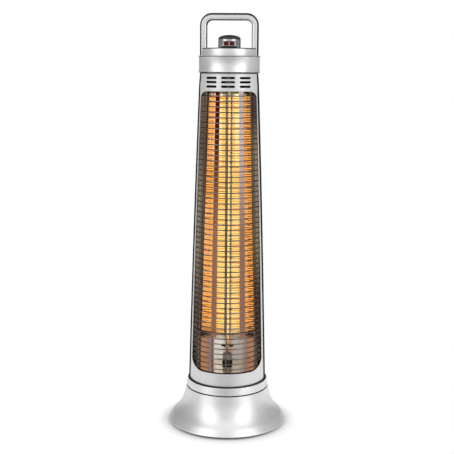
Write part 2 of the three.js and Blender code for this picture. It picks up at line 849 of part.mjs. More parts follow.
// The section as a closed loop, with the sheet's thickness behind it.
function reflectorLoop(z) {
  const half = reflectorHalf(bodyRadius(z));
  const front = [...mirrored(half.slice(1)), ...half];
  const back = front.map((p, i) => {
    const ahead = front[Math.min(i + 1, front.length - 1)];
    const behind = front[Math.max(i - 1, 0)];
    const into = ahead.clone().sub(behind).rotateAround(new THREE.Vector2(), Math.PI / 2);
    return p.clone().add(into.setLength(reflectorSheet));
  });
  return [...front, ...back.reverse()].map((p) => new THREE.Vector3(p.x, p.y, z));
}

function reflector() {
  const bottom = floorTop + fit;
  const top = ceilingBottom - fit;
  return lofted(spread(bottom, top, 5).map(reflectorLoop));
}

// A level plate that closes the lamp's space, clear of the frame bar and the grille.
function endPlate(z0, holeRadius) {
  const radius = hoopRadius(z0) - 3 * wireEdge - fit;
  const disc = rod(radius, z0, z0 + plateThickness, bigSteps);
  const hole = rod(holeRadius, z0 - beyond, z0 + plateThickness + beyond);
  return disc.subtract(hole.add(legRoom(z0 - 1, z0 + plateThickness + 1)));
}

// ---------- Lamp ----------
function quartzTube() {
  return pipe(tubeRadius - tubeWall, tubeRadius, tubeBottom, tubeTop);
}

// The heating coil's outer shape, with the metal caps that centre it in the tube.
function filament() {
  const capRadius = tubeRadius - tubeWall - fit;
  const low = tubeBottom + 1;
  const high = tubeTop - 1;
  const profile = [
    [0, low],
    [capRadius, low],
    [capRadius, low + stemLength],
    [coilRadius / 3, low + stemLength],
    [coilRadius / 3, tubeBottom + coilEndClear],
    [coilRadius, tubeBottom + coilEndClear],
    [coilRadius, high - stemLength - 2],
    [coilRadius / 3, high - stemLength - 2],
    [coilRadius / 3, high - stemLength],
    [capRadius, high - stemLength],
    [capRadius, high],
    [0, high],
  ];
  return turned(profile, 10);
}

const ceramicRadius = tubeRadius + fit + ceramicWall;

function lowerCeramic() {
  const top = lowerCeramicBottom + ceramicHeight;
  const seat = top - ceramicSeat - fit;
  const body = rod(ceramicRadius, lowerCeramicBottom, top);
  return body.subtract(rod(tubeRadius + fit, seat, top + beyond));
}

function upperCeramic() {
  const top = upperCeramicBottom + ceramicHeight;
  const body = rod(ceramicRadius, upperCeramicBottom, top);
  return body.subtract(rod(tubeRadius + fit, upperCeramicBottom - beyond, tubeTop + fit));
}

// A block with rounded ends that holds one ceramic to its plate.
function lampClamp(z0, holeRadius) {
  const ends = [-1, 1].map((way) => {
    const end = rod(clampHalfDepth, z0, z0 + clampHeight);
    return end.translate([way * (clampHalfWidth - clampHalfDepth), 0, 0]);
  });
  const middle = pipe(holeRadius, ceramicRadius, z0, z0 + clampHeight);
  const hole = rod(holeRadius, z0 - beyond, z0 + clampHeight + beyond);
  return joined([...ends, middle]).subtract(hole);
}

// A spring clip on the reflector's ridge that grips the lamp, with an ear on each side.
function lampClip() {
  const z0 = floorTop + clipRise;
  const z1 = z0 + clipHeight;
  const inner = tubeRadius + fit;
  const outer = inner + clipWall;
  const middle = (inner + outer) / 2;
  const ridge = innerFocus * bodyRadius(z0) - 2 * fit;
  const mouth = block([-clipMouth / 2, -outer - 1, z0 - 1], [clipMouth / 2, 0, z1 + 1]);
  const ears = [-1, 1].map((way) => boxOf([way * middle, -clipWall, z0], [way * (outer + clipEar), 0, z1]));
  const foot = block([-clipFoot / 2, middle, z0], [clipFoot / 2, ridge, z1]);
  return joined([pipe(inner, outer, z0, z1).subtract(mouth), ...ears, foot]);
}

// ---------- Electrics ----------
function terminalBlock() {
  const low = deckTop + fit;
  const half = terminalWidth / 2;
  const back = terminalFront + terminalDepth;
  const body = block([-half, terminalFront, low], [half, back, low + terminalHeight]);
  const cuts = [-1, 1].map((way) => {
    const x = (way * terminalPitch - terminalSlot) / 2;
    const top = low + terminalHeight + beyond;
    return block([x, 0, low + terminalHeight / 2], [x + terminalSlot, back + beyond, top]);
  });
  return body.subtract(joined(cuts));
}

function thermalCutout() {
  const low = ceilingBottom + plateThickness + fit;
  const side = cutoutTagWidth / 2;
  const end = cutoutTagDepth / 2;
  const body = rod(cutoutRadius, low, low + cutoutHeight);
  return body.add(block([-side, -end, low + cutoutHeight / 2], [side, end, low + cutoutTagHeight]));
}

// An insulated lead along a smooth route.
function lead(points) {
  const path = new THREE.CatmullRomCurve3(points.map((p) => new THREE.Vector3(...p)));
  return swept(path, leadRadius, 8, 14);
}

function lampLead() {
  const from = windowBottom - fit;
  const to = tipBodyBottom + tipBodyHeight + fit;
  const between = (share) => THREE.MathUtils.lerp(from, to, share);
  return lead([
    [0, 0, from],
    [0, 2, between(0.3)],
    [0, tipSwitchY * 0.6, between(0.65)],
    [0, tipSwitchY, between(0.9)],
    [0, tipSwitchY, to],
  ]);
}

function supplyLead() {
  const start = tipSwitchY + tipBodySize / 2 + fit;
  const low = ballastTop + 5;
  return lead([
    [0, start, low],
    [0, start + 6, low],
    [0, (start + glandInnerEnd) / 2 + 2, (low + glandHeight) / 2],
    [0, glandInnerEnd - 3, glandHeight],
    [0, glandInnerEnd + 5, glandHeight],
  ]);
}

// ---------- Head ----------
function headGasket() {
  const top = headGasketBottom + gasketThickness;
  const inner = handleHalfWidth - barWidth - gasketLedge;
  const body = pipe(inner, bodyTopRadius, headGasketBottom, top, bigSteps);
  return body.subtract(legRoom(headGasketBottom - 1, top + 1));
}

function headBand() {
  const inner = bandRadius - bandWall;
  const profile = [
    [inner, bandBottom],
    [bandRadius - bandRecess, bandBottom],
    [bandRadius, bandBottom + bandRim],
    [bandRadius, bandTop - bandRim],
    [bandRadius - bandRecess, bandTop],
    [lidRadius - lidSeat, bandTop],
    [lidRadius - lidSeat, bandTop - bandWall],
    [inner, bandTop - bandWall],
  ];
  return turned(closed(profile)).subtract(bandLegRoom());
}

// The legs pass through the band's top flange but inside its wall.
function bandLegRoom() {
  const half = barDepth / 2 + fit;
  const outer = bandRadius - bandWall;
  const inner = handleHalfWidth - barWidth - fit;
  const low = bandTop - bandWall - 1;
  const room = block([inner, -half, low], [outer, half, bandTop + 1]);
  return room.add(block([-outer, -half, low], [-inner, half, bandTop + 1]));
}

function headDeck() {
  const disc = pipe(deckBore, bandRadius - bandWall - fit, deckBottom, deckTop, bigSteps);
  return disc.subtract(legRoom(deckBottom - 1, deckTop + 1));
}

function headLid() {
  const inner = lidRadius - lidWall;
  const underside = lidTop - lidWall;
  const profile = [
    [0, underside],
    [inner, underside],
    [inner, lidBottom],
    [lidRadius, lidBottom],
    [lidRadius, lidTop - lidEdge],
    [lidRadius - lidEdge * 0.3, lidTop - lidEdge * 0.3],
    [lidRadius - lidEdge, lidTop],
    [0, lidTop],
  ];
  return turned(profile).subtract(legRoom(lidBottom - 1, lidTop + 1));
}

// ---------- Switch pod on the lid ----------
function nicheShape(inset) {
  const shape = new THREE.Shape();
  shape.moveTo(-nicheFootHalfWidth + inset, podFoot + inset);
  shape.lineTo(nicheFootHalfWidth - inset, podFoot + inset);
  shape.lineTo(nicheTopHalfWidth - inset, podFoot + nicheTop - inset);
  shape.lineTo(-nicheTopHalfWidth + inset, podFoot + nicheTop - inset);
  shape.closePath();
  return shape;
}

function podShell() {
  const wall = pipe(podRadius - podWall, podRadius, podFoot, podWallTop, bigSteps);
  const top = rod(podRadius, podWallTop - podWall, podWallTop, bigSteps);
  const niche = extrudedAlongY(nicheShape(0), -podRadius - beyond, -podRadius / 2);
  return wall.add(top).subtract(niche);
}

function podCap() {
  const low = podWallTop + fit;
  const high = low + podCapHeight - fit;
  const edge = 1;
  const crown = spread(0, 1, 4).map((share) => {
    const r = (podRadius - edge / 2) * (1 - share);
    return [r, THREE.MathUtils.lerp(low + edge, high, Math.pow(share, 0.8))];
  });
  return turned([[0, low], [podRadius, low], [podRadius, low + edge / 2], ...crown]);
}

const rockerLevel = podFoot + fit + sillHeight + (nicheTop - sillHeight) / 2;
const rockerPivot = switchPlateFront - rockerPivotDepth;

function switchPlate() {
  const back = -switchPlateFront + switchPlateThickness;
  const plate = extrudedAlongY(nicheShape(fit), -switchPlateFront, back);
  const cut = block(
    [-podRadius, -podRadius, podFoot - 1],
    [podRadius, 0, podFoot + fit + sillHeight + fit],
  );
  const windows = rockerPlaces().map((x) =>
    block(
      [x - rockerWidth / 2 - fit, -podRadius, rockerLevel - rockerHeight / 2 - 1.5 * fit],
      [x + rockerWidth / 2 + fit, 0, rockerLevel + rockerHeight / 2 + 1.5 * fit],
    ),
  );
  return plate.subtract(joined([cut, ...windows]));
}

function rockerPlaces() {
  return [-rockerSpacing / 2, rockerSpacing / 2];
}

function switchSill() {
  const front = -Math.sqrt(podRadius ** 2 - nicheFootHalfWidth ** 2);
  const low = podFoot + fit;
  const half = nicheFootHalfWidth - 2 * fit;
  const trim = extrudedAlongY(nicheShape(2 * fit), -podRadius, 0);
  return trim.intersect(block([-half, front - 2, low], [half, -switchPlateFront + 3, low + sillHeight]));
}

function switchBody() {
  const front = -rockerPivot + rockerDepth / 2 + 1;
  const side = switchBodyWidth / 2;
  const half = switchBodyHeight / 2;
  return block([-side, front, rockerLevel - half], [side, front + switchBodyDepth, rockerLevel + half]);
}

// A rocker about its own pivot line, level between its two positions.
function rocker() {
  const half = rockerHeight / 2;
  const front = -rockerDepth / 2 - fit;
  const back = rockerDepth / 2;
  const profile = [
    [front, -half],
    [back, rockerRake - half],
    [back, half - rockerRake],
    [front, half],
    [front + rockerDip, 0],
  ];
  const loopAt = (x) => profile.map(([y, z]) => new THREE.Vector3(x, y, z));
  return lofted([loopAt(-rockerWidth / 2), loopAt(rockerWidth / 2)]);
}

// ---------- Finishes ----------
function finish(color, metalness, roughness, more = {}) {
  return new THREE.MeshStandardMaterial({ color, metalness, roughness, ...more });
}

const satinSilver = finish(0xc4c4c6, 0.85, 0.38);
const silverPaint = finish(0xb9b9bb, 0.3, 0.45);
const polishedBar = finish(0xd6d6d8, 0.95, 0.2);
const mirrorSheet = finish(0xe4e2de, 1, 0.08);
const chromeWire = finish(0xdddddd, 1, 0.15);
const steel = finish(0x9a9a9c, 0.9, 0.4);
const zincSheet = finish(0xa8acae, 0.8, 0.45);
const castIron = finish(0x3c3c3e, 0.6, 0.7);
const blackPlastic = finish(0x18181a, 0, 0.5);
const glossBlack = finish(0x0c0c0d, 0, 0.2);
const blackRubber = finish(0x1c1c1c, 0, 0.85);
const redPlastic = finish(0x8c0a14, 0, 0.25);
const ceramicGrey = finish(0xd8d4cc, 0, 0.8);
const quartz = finish(0xffffff, 0, 0.05, { transparent: true, opacity: 0.35 });
const glowingCoil = finish(0xff9a3c, 0, 0.6, { emissive: 0xff7a20 });
const leadSheath = finish(0xe8e6e0, 0, 0.7);

// ---------- Assembly ----------
function piece(group, name, body, material) {
  const mesh = new THREE.Mesh(geometryOf(body), material);
  mesh.name = name;
  group.add(mesh);
  return mesh;
}

// Copies of one piece, each in its own mesh, at [x, y] places.
function copies(group, name, body, places, material) {
  places.forEach(([x, y], i) => {
    piece(group, `${name}_${i + 1}`, body, material.clone()).position.set(x, y, 0);
  });
}

function base() {
  const group = new THREE.Group();
  piece(group, "base_bell", baseBell(), satinSilver.clone());
  piece(group, "base_plate", basePlate(), blackPlastic.clone());
  piece(group, "ballast_ring", ballastRing(), castIron);
  copies(group, "foot", foot(), ring(footCount, footCircle, 45), blackRubber);
  copies(group, "base_screw", baseScrew(), baseScrewPlaces(), steel);
  piece(group, "tip_switch_body", tipSwitchBody(), blackPlastic.clone()).position.y = tipSwitchY;
  piece(group, "tip_plunger", tipPlunger(), redPlastic.clone()).position.y = tipSwitchY;
  piece(group, "tip_spring", tipSpring(), steel.clone()).position.y = tipSwitchY;
  piece(group, "cable_gland", cableGland(), blackPlastic.clone());
  piece(group, "gland_nut", glandNut(), steel.clone());
  piece(group, "supply_lead", supplyLead(), blackRubber.clone());
  return group;
}

function collar() {
  const group = new THREE.Group();
  piece(group, "collar_gasket_lower", lowerGasket(), blackRubber.clone());
  piece(group, "collar_ring", collarRing(), satinSilver.clone());
  piece(group, "collar_gasket_upper", upperGasket(), blackRubber.clone());
  piece(group, "tower_disc", towerDisc(), zincSheet.clone());
  towerBoltPlaces().forEach((x, i) => {
    piece(group, `tower_bolt_${i + 1}`, towerBolt(), steel.clone()).position.x = x;
  });
  return group;
}

function tower() {
  const group = new THREE.Group();
  piece(group, "frame_bar", frameBar(), polishedBar);
  piece(group, "front_panel", frontPanel(), silverPaint.clone());
  piece(group, "rear_cover", rearCover(), silverPaint.clone());
  panelScrewPlaces().forEach(({ side, y, z }, i) => {
    piece(group, `side_screw_${i + 1}`, panelScrew(side, y, z), steel.clone());
  });
  piece(group, "grille", grille(), chromeWire.clone());
  piece(group, "grille_support_hoop", supportHoop(), chromeWire.clone());
  piece(group, "reflector", reflector(), mirrorSheet.clone());
  piece(group, "reflector_floor", endPlate(floorTop - plateThickness, glandBore), mirrorSheet.clone());
  piece(group, "reflector_ceiling", endPlate(ceilingBottom, tubeRadius + 1), mirrorSheet.clone());
  return group;
}

function lamp() {
  const group = new THREE.Group();
  piece(group, "quartz_tube", quartzTube(), quartz);
  piece(group, "filament", filament(), glowingCoil);
  piece(group, "ceramic_lower", lowerCeramic(), ceramicGrey.clone());
  piece(group, "ceramic_upper", upperCeramic(), ceramicGrey.clone());
  piece(group, "lamp_clamp_lower", lampClamp(clampBottom, glandBore), blackPlastic.clone());
  piece(group, "lamp_clamp_upper", lampClamp(upperClampBottom, tubeRadius + fit), blackPlastic.clone());
  piece(group, "lamp_clip", lampClip(), steel.clone());
  piece(group, "lamp_lead", lampLead(), leadSheath);
  piece(group, "thermal_cutout", thermalCutout(), zincSheet.clone())
    .position.set(cutoutPlace, cutoutPlace, 0);
  return group;
}

function head() {
  const group = new THREE.Group();
  piece(group, "head_gasket", headGasket(), blackRubber.clone());
  piece(group, "head_band", headBand(), satinSilver.clone());
  piece(group, "head_deck", headDeck(), zincSheet.clone());
  piece(group, "terminal_block", terminalBlock(), blackPlastic.clone());
  piece(group, "head_lid", headLid(), satinSilver.clone());
  piece(group, "pod_shell", podShell(), satinSilver.clone());
  piece(group, "pod_cap", podCap(), glossBlack);
  piece(group, "switch_plate", switchPlate(), silverPaint.clone());
  piece(group, "switch_sill", switchSill(), blackPlastic.clone());
  ["left", "right"].forEach((side, i) => {
    const x = rockerPlaces()[i];
    piece(group, `switch_body_${side}`, switchBody(), blackPlastic.clone()).position.x = x;
    const key = piece(group, `rocker_${side}`, rocker(), redPlastic.clone());
    key.position.set(x, -rockerPivot, rockerLevel);
    key.rotation.x = -rockerTilt * degree;
  });
  return group;
}

const heater = new THREE.Group();
heater.add(base(), collar(), tower(), lamp(), head());

export default heater;
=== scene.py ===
from math import copysign, cos, hypot, pi, radians, sin, sqrt

import bpy
from mathutils import Matrix, Vector


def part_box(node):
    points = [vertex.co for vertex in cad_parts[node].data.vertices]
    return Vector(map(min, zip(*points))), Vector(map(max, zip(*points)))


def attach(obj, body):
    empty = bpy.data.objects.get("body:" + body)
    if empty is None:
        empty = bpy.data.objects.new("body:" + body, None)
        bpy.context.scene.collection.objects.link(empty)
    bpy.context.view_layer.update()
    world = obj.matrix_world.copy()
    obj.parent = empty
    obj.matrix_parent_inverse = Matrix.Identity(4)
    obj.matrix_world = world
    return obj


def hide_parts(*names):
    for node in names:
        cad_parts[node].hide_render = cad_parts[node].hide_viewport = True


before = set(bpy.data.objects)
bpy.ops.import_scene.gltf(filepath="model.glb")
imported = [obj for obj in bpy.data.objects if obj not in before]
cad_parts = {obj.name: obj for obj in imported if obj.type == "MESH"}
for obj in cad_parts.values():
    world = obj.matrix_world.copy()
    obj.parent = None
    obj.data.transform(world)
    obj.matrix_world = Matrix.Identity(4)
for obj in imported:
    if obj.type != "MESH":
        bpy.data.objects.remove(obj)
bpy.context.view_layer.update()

MM = 0.001


def levels(node):
    """A node's lowest and highest level."""
    low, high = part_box(node)
    return low.z, high.z


def foot_of(node):
    return levels(node)[0]


def top_of(node):
    return levels(node)[1]


# ----- Sizes that the pieces share -----
FIT = 0.3 * MM  # gap between pieces that rest on, or sit in, each other
SHEET = 0.8 * MM  # the body's two painted panels
SKIN_INSET = 1.4 * MM  # by which the bar stands proud of them
WIRE_INSET = 2.5 * MM  # body's outline to the grille's outer face
BODY_TOP_RADIUS = 43.2 * MM
BODY_BOTTOM_RADIUS = 58.6 * MM
BODY_BULGE = 0.25  # share of the taper by which the side line bows outwards
BAR_WIDTH = 10 * MM
BAR_DEPTH = 20 * MM
BAR_EDGE = 3.3 * MM
HANDLE_HALF_WIDTH = 42.6 * MM
HANDLE_CORNER = 17.5 * MM
BAR_DRAW_IN = 14 * MM  # length over which the bar draws in to the handle's width
BAND_RADIUS = 45 * MM
LID_RADIUS = 41 * MM
BASE_RADIUS = 90 * MM
BELL_TOP_RADIUS = 62.6 * MM
COLLAR_TOP_RADIUS = 60.5 * MM
LIP_RADIUS = 84.4 * MM  # where the flare turns into the rim's lip
LIP_HEIGHT = 12.5 * MM
WIRE = 1.7 * MM  # diameter of the grille's wires
TUBE_RADIUS = 5 * MM
TUBE_BORE = TUBE_RADIUS - MM
POD_RADIUS = 16.3 * MM
SWITCH_FACE = 12.6 * MM  # switch plate's face in front of the axis

BODY_BOTTOM, BODY_TOP = levels("front_panel")
WINDOW_TOP = BODY_TOP - 24.6 * MM
WINDOW_BOTTOM = BODY_BOTTOM + 18.5 * MM
FLOOR_TOP = top_of("reflector_floor")
BELL_FOOT, BELL_TOP = levels("base_bell")
FLANGE_BORE = 46 * MM  # opening in the bell's top
COIL_FOOT = foot_of("filament") + 20 * MM  # the coil's turns lie between these
COIL_TOP = top_of("filament") - 19 * MM
TINT_FOOT = foot_of("filament") + 24 * MM  # lower end of the reflector's tinted steps and rims
POD_FOOT = foot_of("pod_shell")
LID_TOP = top_of("head_lid")
BEYOND = 70 * MM  # farther out than the body, the head and the switches


def between(a, b, share):
    return a + (b - a) * share


def clamped(value):
    return min(max(value, 0), 1)


def spread(a, b, steps):
    return [between(a, b, i / steps) for i in range(steps + 1)]


def body_radius(z):
    fall = clamped((BODY_TOP - z) / (BODY_TOP - BODY_BOTTOM))
    return between(BODY_TOP_RADIUS, BODY_BOTTOM_RADIUS, fall + BODY_BULGE * fall * (1 - fall))


def bar_outer(z):
    rise = clamped((z - BODY_TOP + BAR_DRAW_IN) / BAR_DRAW_IN)
    return between(body_radius(z), HANDLE_HALF_WIDTH, rise)


def bell_flare(z):
    down = (BELL_TOP - z) / (BELL_TOP - LIP_HEIGHT)
    return between(BELL_TOP_RADIUS, LIP_RADIUS, 0.436 * down + 0.564 * down**3.6)


def hoop_radius(z):
    return body_radius(z) - WIRE_INSET - WIRE * 0.58


def closed(outline):
    return outline + outline[:1]


def arc(centre, radius, start, end, steps=8):
    """Points of an arc in a plane, from start to end degrees."""
    turns = [radians(a) for a in spread(start, end, steps)]
    return [(centre[0] + radius * cos(t), centre[1] + radius * sin(t)) for t in turns]


def oblong(inner, outer, low, high):
    """The section of a flat ring, or of a disc from the axis."""
    return [(inner, low), (outer, low), (outer, high), (inner, high)]


def around(radius, turn, z):
    """A point at an angle from the front."""
    return (radius * sin(turn), -radius * cos(turn), z)


# ----- Modelling -----
def finish_edit():
    bpy.ops.object.mode_set(mode="OBJECT")


def deselect():
    if bpy.context.object and bpy.context.object.mode != "OBJECT":
        finish_edit()
    bpy.ops.object.select_all(action="DESELECT")


def alone(piece):
    deselect()
    piece.select_set(True)
    bpy.context.view_layer.objects.active = piece


def select_all():
    bpy.ops.mesh.select_all(action="SELECT")


def edit(piece):
    alone(piece)
    bpy.ops.object.mode_set(mode="EDIT")
    select_all()


def named(name):
    """The active object, under its own name."""
    piece = bpy.context.object
    piece.name = piece.data.name = name
    return piece


def placed(piece):
    """Its place, turn and size put into its mesh."""
    alone(piece)
    bpy.ops.object.transform_apply(location=True, rotation=True, scale=True)
    return piece


def smoothed(piece, angle=35):
    alone(piece)
    bpy.ops.object.shade_smooth_by_angle(angle=radians(angle))
    return piece


def plane(name, width, tall, centre=(0, 0, 0), turn=(0, 0, 0)):
    deselect()
    bpy.ops.mesh.primitive_plane_add(size=1, location=centre, rotation=turn)
    piece = named(name)
    piece.scale = (width, tall, 1)
    return placed(piece)


def circle(name, radius, centre, turn):
    """The section of a wire, as a start."""
    deselect()
    bpy.ops.mesh.primitive_circle_add(
        vertices=8, radius=radius, fill_type="NOTHING", location=centre, rotation=turn)
    return placed(named(name))


def extrude(step):
    """In edit mode: what is selected, run on by a step."""
    bpy.ops.mesh.extrude_region_move(TRANSFORM_OT_translate={"value": step})


def drawn_line(name, points):
    """Edges through points, from one vertex. Left in edit mode, all selected."""
    line = plane(name, MM, MM, points[0])
    edit(line)
    bpy.ops.mesh.select_mode(type="VERT")
    bpy.ops.mesh.merge(type="CENTER")
    for here, there in zip(points, points[1:]):
        extrude(Vector(there) - Vector(here))
    select_all()
    bpy.ops.mesh.remove_doubles(threshold=0.001 * MM)
    return line


def outward():
    """In edit mode: doubles merged, faces turned outwards."""
    select_all()
    bpy.ops.mesh.remove_doubles(threshold=0.001 * MM)
    bpy.ops.mesh.normals_make_consistent(inside=False)
    finish_edit()


def turned(name, outline, steps):
    """An outline of radius and height turned about the upright axis."""
    piece = drawn_line(name, [(r, 0, z) for r, z in outline])
    bpy.ops.mesh.spin(steps=steps, angle=2 * pi, center=(0, 0, 0), axis=(0, 0, 1))
    outward()
    return smoothed(piece)


def ringed(name, outline, steps=128):
    """As turned, with an outline that closes on itself."""
    return turned(name, closed(outline), steps)


def extruded(name, outline, y0, y1):
    """A closed outline in X and Z, run from y0 to y1."""
    piece = drawn_line(name, [(x, y0, z) for x, z in closed(outline)])
    bpy.ops.mesh.edge_face_add()
    extrude((0, y1 - y0, 0))
    outward()
    return smoothed(piece)


def swept(reach, steps, corners):
    """In edit mode: one end's sections spun past the front to the other end, and capped."""
    bpy.ops.mesh.spin(steps=steps, angle=-2 * reach, center=(0, 0, 0), axis=(0, 0, 1))
    select_all()
    bpy.ops.mesh.fill_holes(sides=corners)
    outward()


def box(name, corner, opposite):
    """A block between two corners."""
    low, high = Vector(map(min, corner, opposite)), Vector(map(max, corner, opposite))
    deselect()
    bpy.ops.mesh.primitive_cube_add(size=1, location=(low + high) / 2)
    piece = named(name)
    piece.scale = high - low
    return placed(piece)


def cylinder(name, radius, depth, centre, turn=(0, 0, 0), vertices=32):
    """A round or many-sided block."""
    deselect()
    bpy.ops.mesh.primitive_cylinder_add(
        vertices=vertices, radius=radius, depth=depth, location=centre, rotation=turn)
    return placed(named(name))


def modified(piece, kind, **values):
    """Adds a modifier with its values and applies it."""
    alone(piece)
    added = piece.modifiers.new(kind.lower(), kind)
    for key, value in values.items():
        setattr(added, key, value)
    bpy.ops.object.modifier_apply(modifier=added.name)
    return piece


def rounded(piece, width, segments, angle=40, **values):
    """Its sharp edges rounded."""
    modified(piece, "BEVEL", width=width, segments=segments, limit_method="ANGLE",
             angle_limit=radians(angle), **values)
    smoothed(piece)
    return modified(piece, "WEIGHTED_NORMAL", keep_sharp=True)


def joined(pieces):
    deselect()
    for piece in pieces:
        piece.select_set(True)
    bpy.context.view_layer.objects.active = pieces[0]
    if len(pieces) > 1:
        bpy.ops.object.join()
    return pieces[0]


def cut(piece, cutters):
    """Takes cutters out of a piece."""
    cutter = joined(cutters)
    modified(piece, "BOOLEAN", operation="DIFFERENCE", solver="EXACT", object=cutter)
    bpy.data.objects.remove(cutter)
    return smoothed(piece)


def wire_along(name, points, radius):
    """A round wire along points."""
    drawn_line(name, points)
    finish_edit()
    bpy.ops.object.convert(target="CURVE")
    curve = bpy.context.object.data
    curve.dimensions = "3D"
    curve.bevel_depth = radius
    curve.bevel_resolution = 3
    curve.use_fill_caps = True
    bpy.ops.object.convert(target="MESH")
    return smoothed(named(name), 60)


def copied(piece, name, turn, offset):
    """A copy with its own mesh, turned about the origin and moved."""
    alone(piece)
    bpy.ops.object.duplicate()
    copy = named(name)
    copy.rotation_euler = turn
    copy.location = offset
    return placed(copy)


def merged(piece, other):
    """Joins another solid to a piece."""
    modified(piece, "BOOLEAN", operation="UNION", solver="EXACT", object=other)
    bpy.data.objects.remove(other)


def shaded(piece, shade):
    """Gives each face the number of its material among those that given() adds."""
    for face in piece.data.polygons:
        face.material_index = shade(face)
    return piece


def given(piece, slot, *nodes, body="heater", also=(), finish=None):
    """Gives a piece its materials, its body and the nodes that it stands for."""
    shades = [face.material_index for face in piece.data.polygons]
    piece.data.materials.clear()
    for name in (finish or slot, *also):
        piece.data.materials.append(FINISH[name])
    piece.data.polygons.foreach_set("material_index", shades if also else [0] * len(shades))
    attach(piece, body)
    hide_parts(*nodes)
    return piece


def issued(pattern, ending, slot, places):
    """A copy of a pattern for each (node, turn, place). The pattern is then removed."""
    for name, turn, place in places:
        given(smoothed(copied(pattern, name + ending, turn, place)), slot, name)
    bpy.data.objects.remove(pattern)


# ----- Node groups -----
def new_group(name, inputs, outputs):
    """A node group with these sockets, and its two end nodes."""
    group = bpy.data.node_groups.new(name, "ShaderNodeTree")
    for way, sockets in (("INPUT", inputs), ("OUTPUT", outputs)):
        for socket, kind in sockets.items():
            group.interface.new_socket(name=socket, in_out=way, socket_type="NodeSocket" + kind)
    return group, group.nodes.new("NodeGroupInput"), group.nodes.new("NodeGroupOutput")


def node(tree, kind, links=None, **values):
    """A node with its values set, and its inputs set or linked by name or number."""
    made = tree.nodes.new("ShaderNode" + kind)
    for key, value in values.items():
        setattr(made, key, value)
    for key, value in (links or {}).items():
        if isinstance(value, bpy.types.NodeSocket):
            tree.links.new(value, made.inputs[key])
        else:
            made.inputs[key].default_value = value
    return made


def result(tree, kind, links, **values):
    return node(tree, kind, links, **values).outputs[0]


def maths(tree, operation, a, b=0.0, clamp=False):
    return result(tree, "Math", {0: a, 1: b}, operation=operation, use_clamp=clamp)


def swing_of(tree, noise, width):
    """A noise value made to swing about 0, by a width in all."""
    return maths(tree, "MULTIPLY", maths(tree, "SUBTRACT", noise, 0.5), width)


def product(tree, a, b):
    return result(tree, "VectorMath", {0: a, 1: b}, operation="MULTIPLY")


def scaled(tree, vector, factor):
    return result(tree, "VectorMath", {0: vector, "Scale": factor}, operation="SCALE")


def share_of(tree, value, low, high, *ends):
    """Where a value lies from low to high, from 0 to 1 or between two ends."""
    return result(tree, "MapRange", dict(enumerate((value, low, high, *ends))))


def object_place(tree):
    return node(tree, "TexCoord").outputs["Object"]


def xyz(tree):
    return node(tree, "SeparateXYZ", {0: object_place(tree)}).outputs


def feed(tree, target, links):
    """Links values to the named inputs of a node."""
    for socket, value in links.items():
        tree.links.new(value, target.inputs[socket])


def grain_group():
    """Fine grain and slow mottling for metal, paint and moulded plastic."""
    tree, start, end = new_group(
        "grain",
        {"Colour": "Color", "Mottle": "Float", "Roughness": "Float", "Roughness spread": "Float",
         "Grain size": "Float", "Grain depth": "Float", "Stretch": "Vector"},
        {"Colour": "Color", "Roughness": "Float", "Normal": "Vector"})
    value = start.outputs
    mottle_scale = 34.0
    place = object_place(tree)
    pulled = product(tree, place, value["Stretch"])
    slow = result(tree, "TexNoise", {"Vector": place, "Scale": mottle_scale, "Detail": 3.0})
    per_size = maths(tree, "DIVIDE", 1.0, value["Grain size"])
    fine = result(tree, "TexNoise", {"Vector": pulled, "Scale": per_size, "Detail": 2.0})
    mottle = maths(tree, "ADD", *(swing_of(tree, noise, value["Mottle"]) for noise in (slow, fine)))
    shade = maths(tree, "ADD", 1.0, maths(tree, "MULTIPLY", mottle, 2.0))
    rough = maths(tree, "MULTIPLY", swing_of(tree, slow, value["Roughness spread"]), 2.0)
    bump = {"Height": fine, "Distance": value["Grain depth"], "Strength": 1.0}
    feed(tree, end, {
        "Colour": scaled(tree, value["Colour"], shade),
        "Roughness": maths(tree, "ADD", value["Roughness"], rough, True),
        "Normal": result(tree, "Bump", bump),
    })
    return tree


GRAIN = grain_group()
FINISH = {}


def add_material(name):
    material = bpy.data.materials.new(name)
    material.use_nodes = True
    return material


def add_finish(name, colour, mottle=0.03, roughness=0.35, roughness_spread=0.06, grain=0.4,
               depth=0.004, stretch=(1, 1, 1), **sockets):
    """A material with the grain group's colour, roughness and normal. Grain and depth are in mm."""
    FINISH[name] = add_material(name)
    tree = FINISH[name].node_tree
    shader = tree.nodes["Principled BSDF"]
    for socket, value in sockets.items():
        shader.inputs[socket.replace("_", " ")].default_value = value
    group = tree.nodes.new("ShaderNodeGroup")
    group.node_tree = GRAIN
    values = {"Colour": (*colour, 1), "Mottle": mottle, "Roughness": roughness, "Stretch": stretch,
              "Roughness spread": roughness_spread, "Grain size": grain * MM, "Grain depth": depth * MM}
    for socket, value in values.items():
        group.inputs[socket].default_value = value
    out = group.outputs
    feed(tree, shader, {"Base Color": out["Colour"], "Roughness": out["Roughness"], "Normal": out["Normal"]})
    return tree, shader


def colour_ramp(tree, value, stops):
    """A ramp through (position, colour) stops."""
    made = node(tree, "ValToRGB", {0: value})
    marks = made.color_ramp.elements
    for mark, (position, colour) in zip(marks, (stops[0], stops[-1])):
        mark.position, mark.color = position, (*colour, 1)
    for position, colour in stops[1:-1]:
        marks.new(position).color = (*colour, 1)
    return made.outputs[0]


def lamp_share(tree):
    """0 at the lamp's foot, 1 at its top."""
    return share_of(tree, xyz(tree)[2], *levels("filament"))


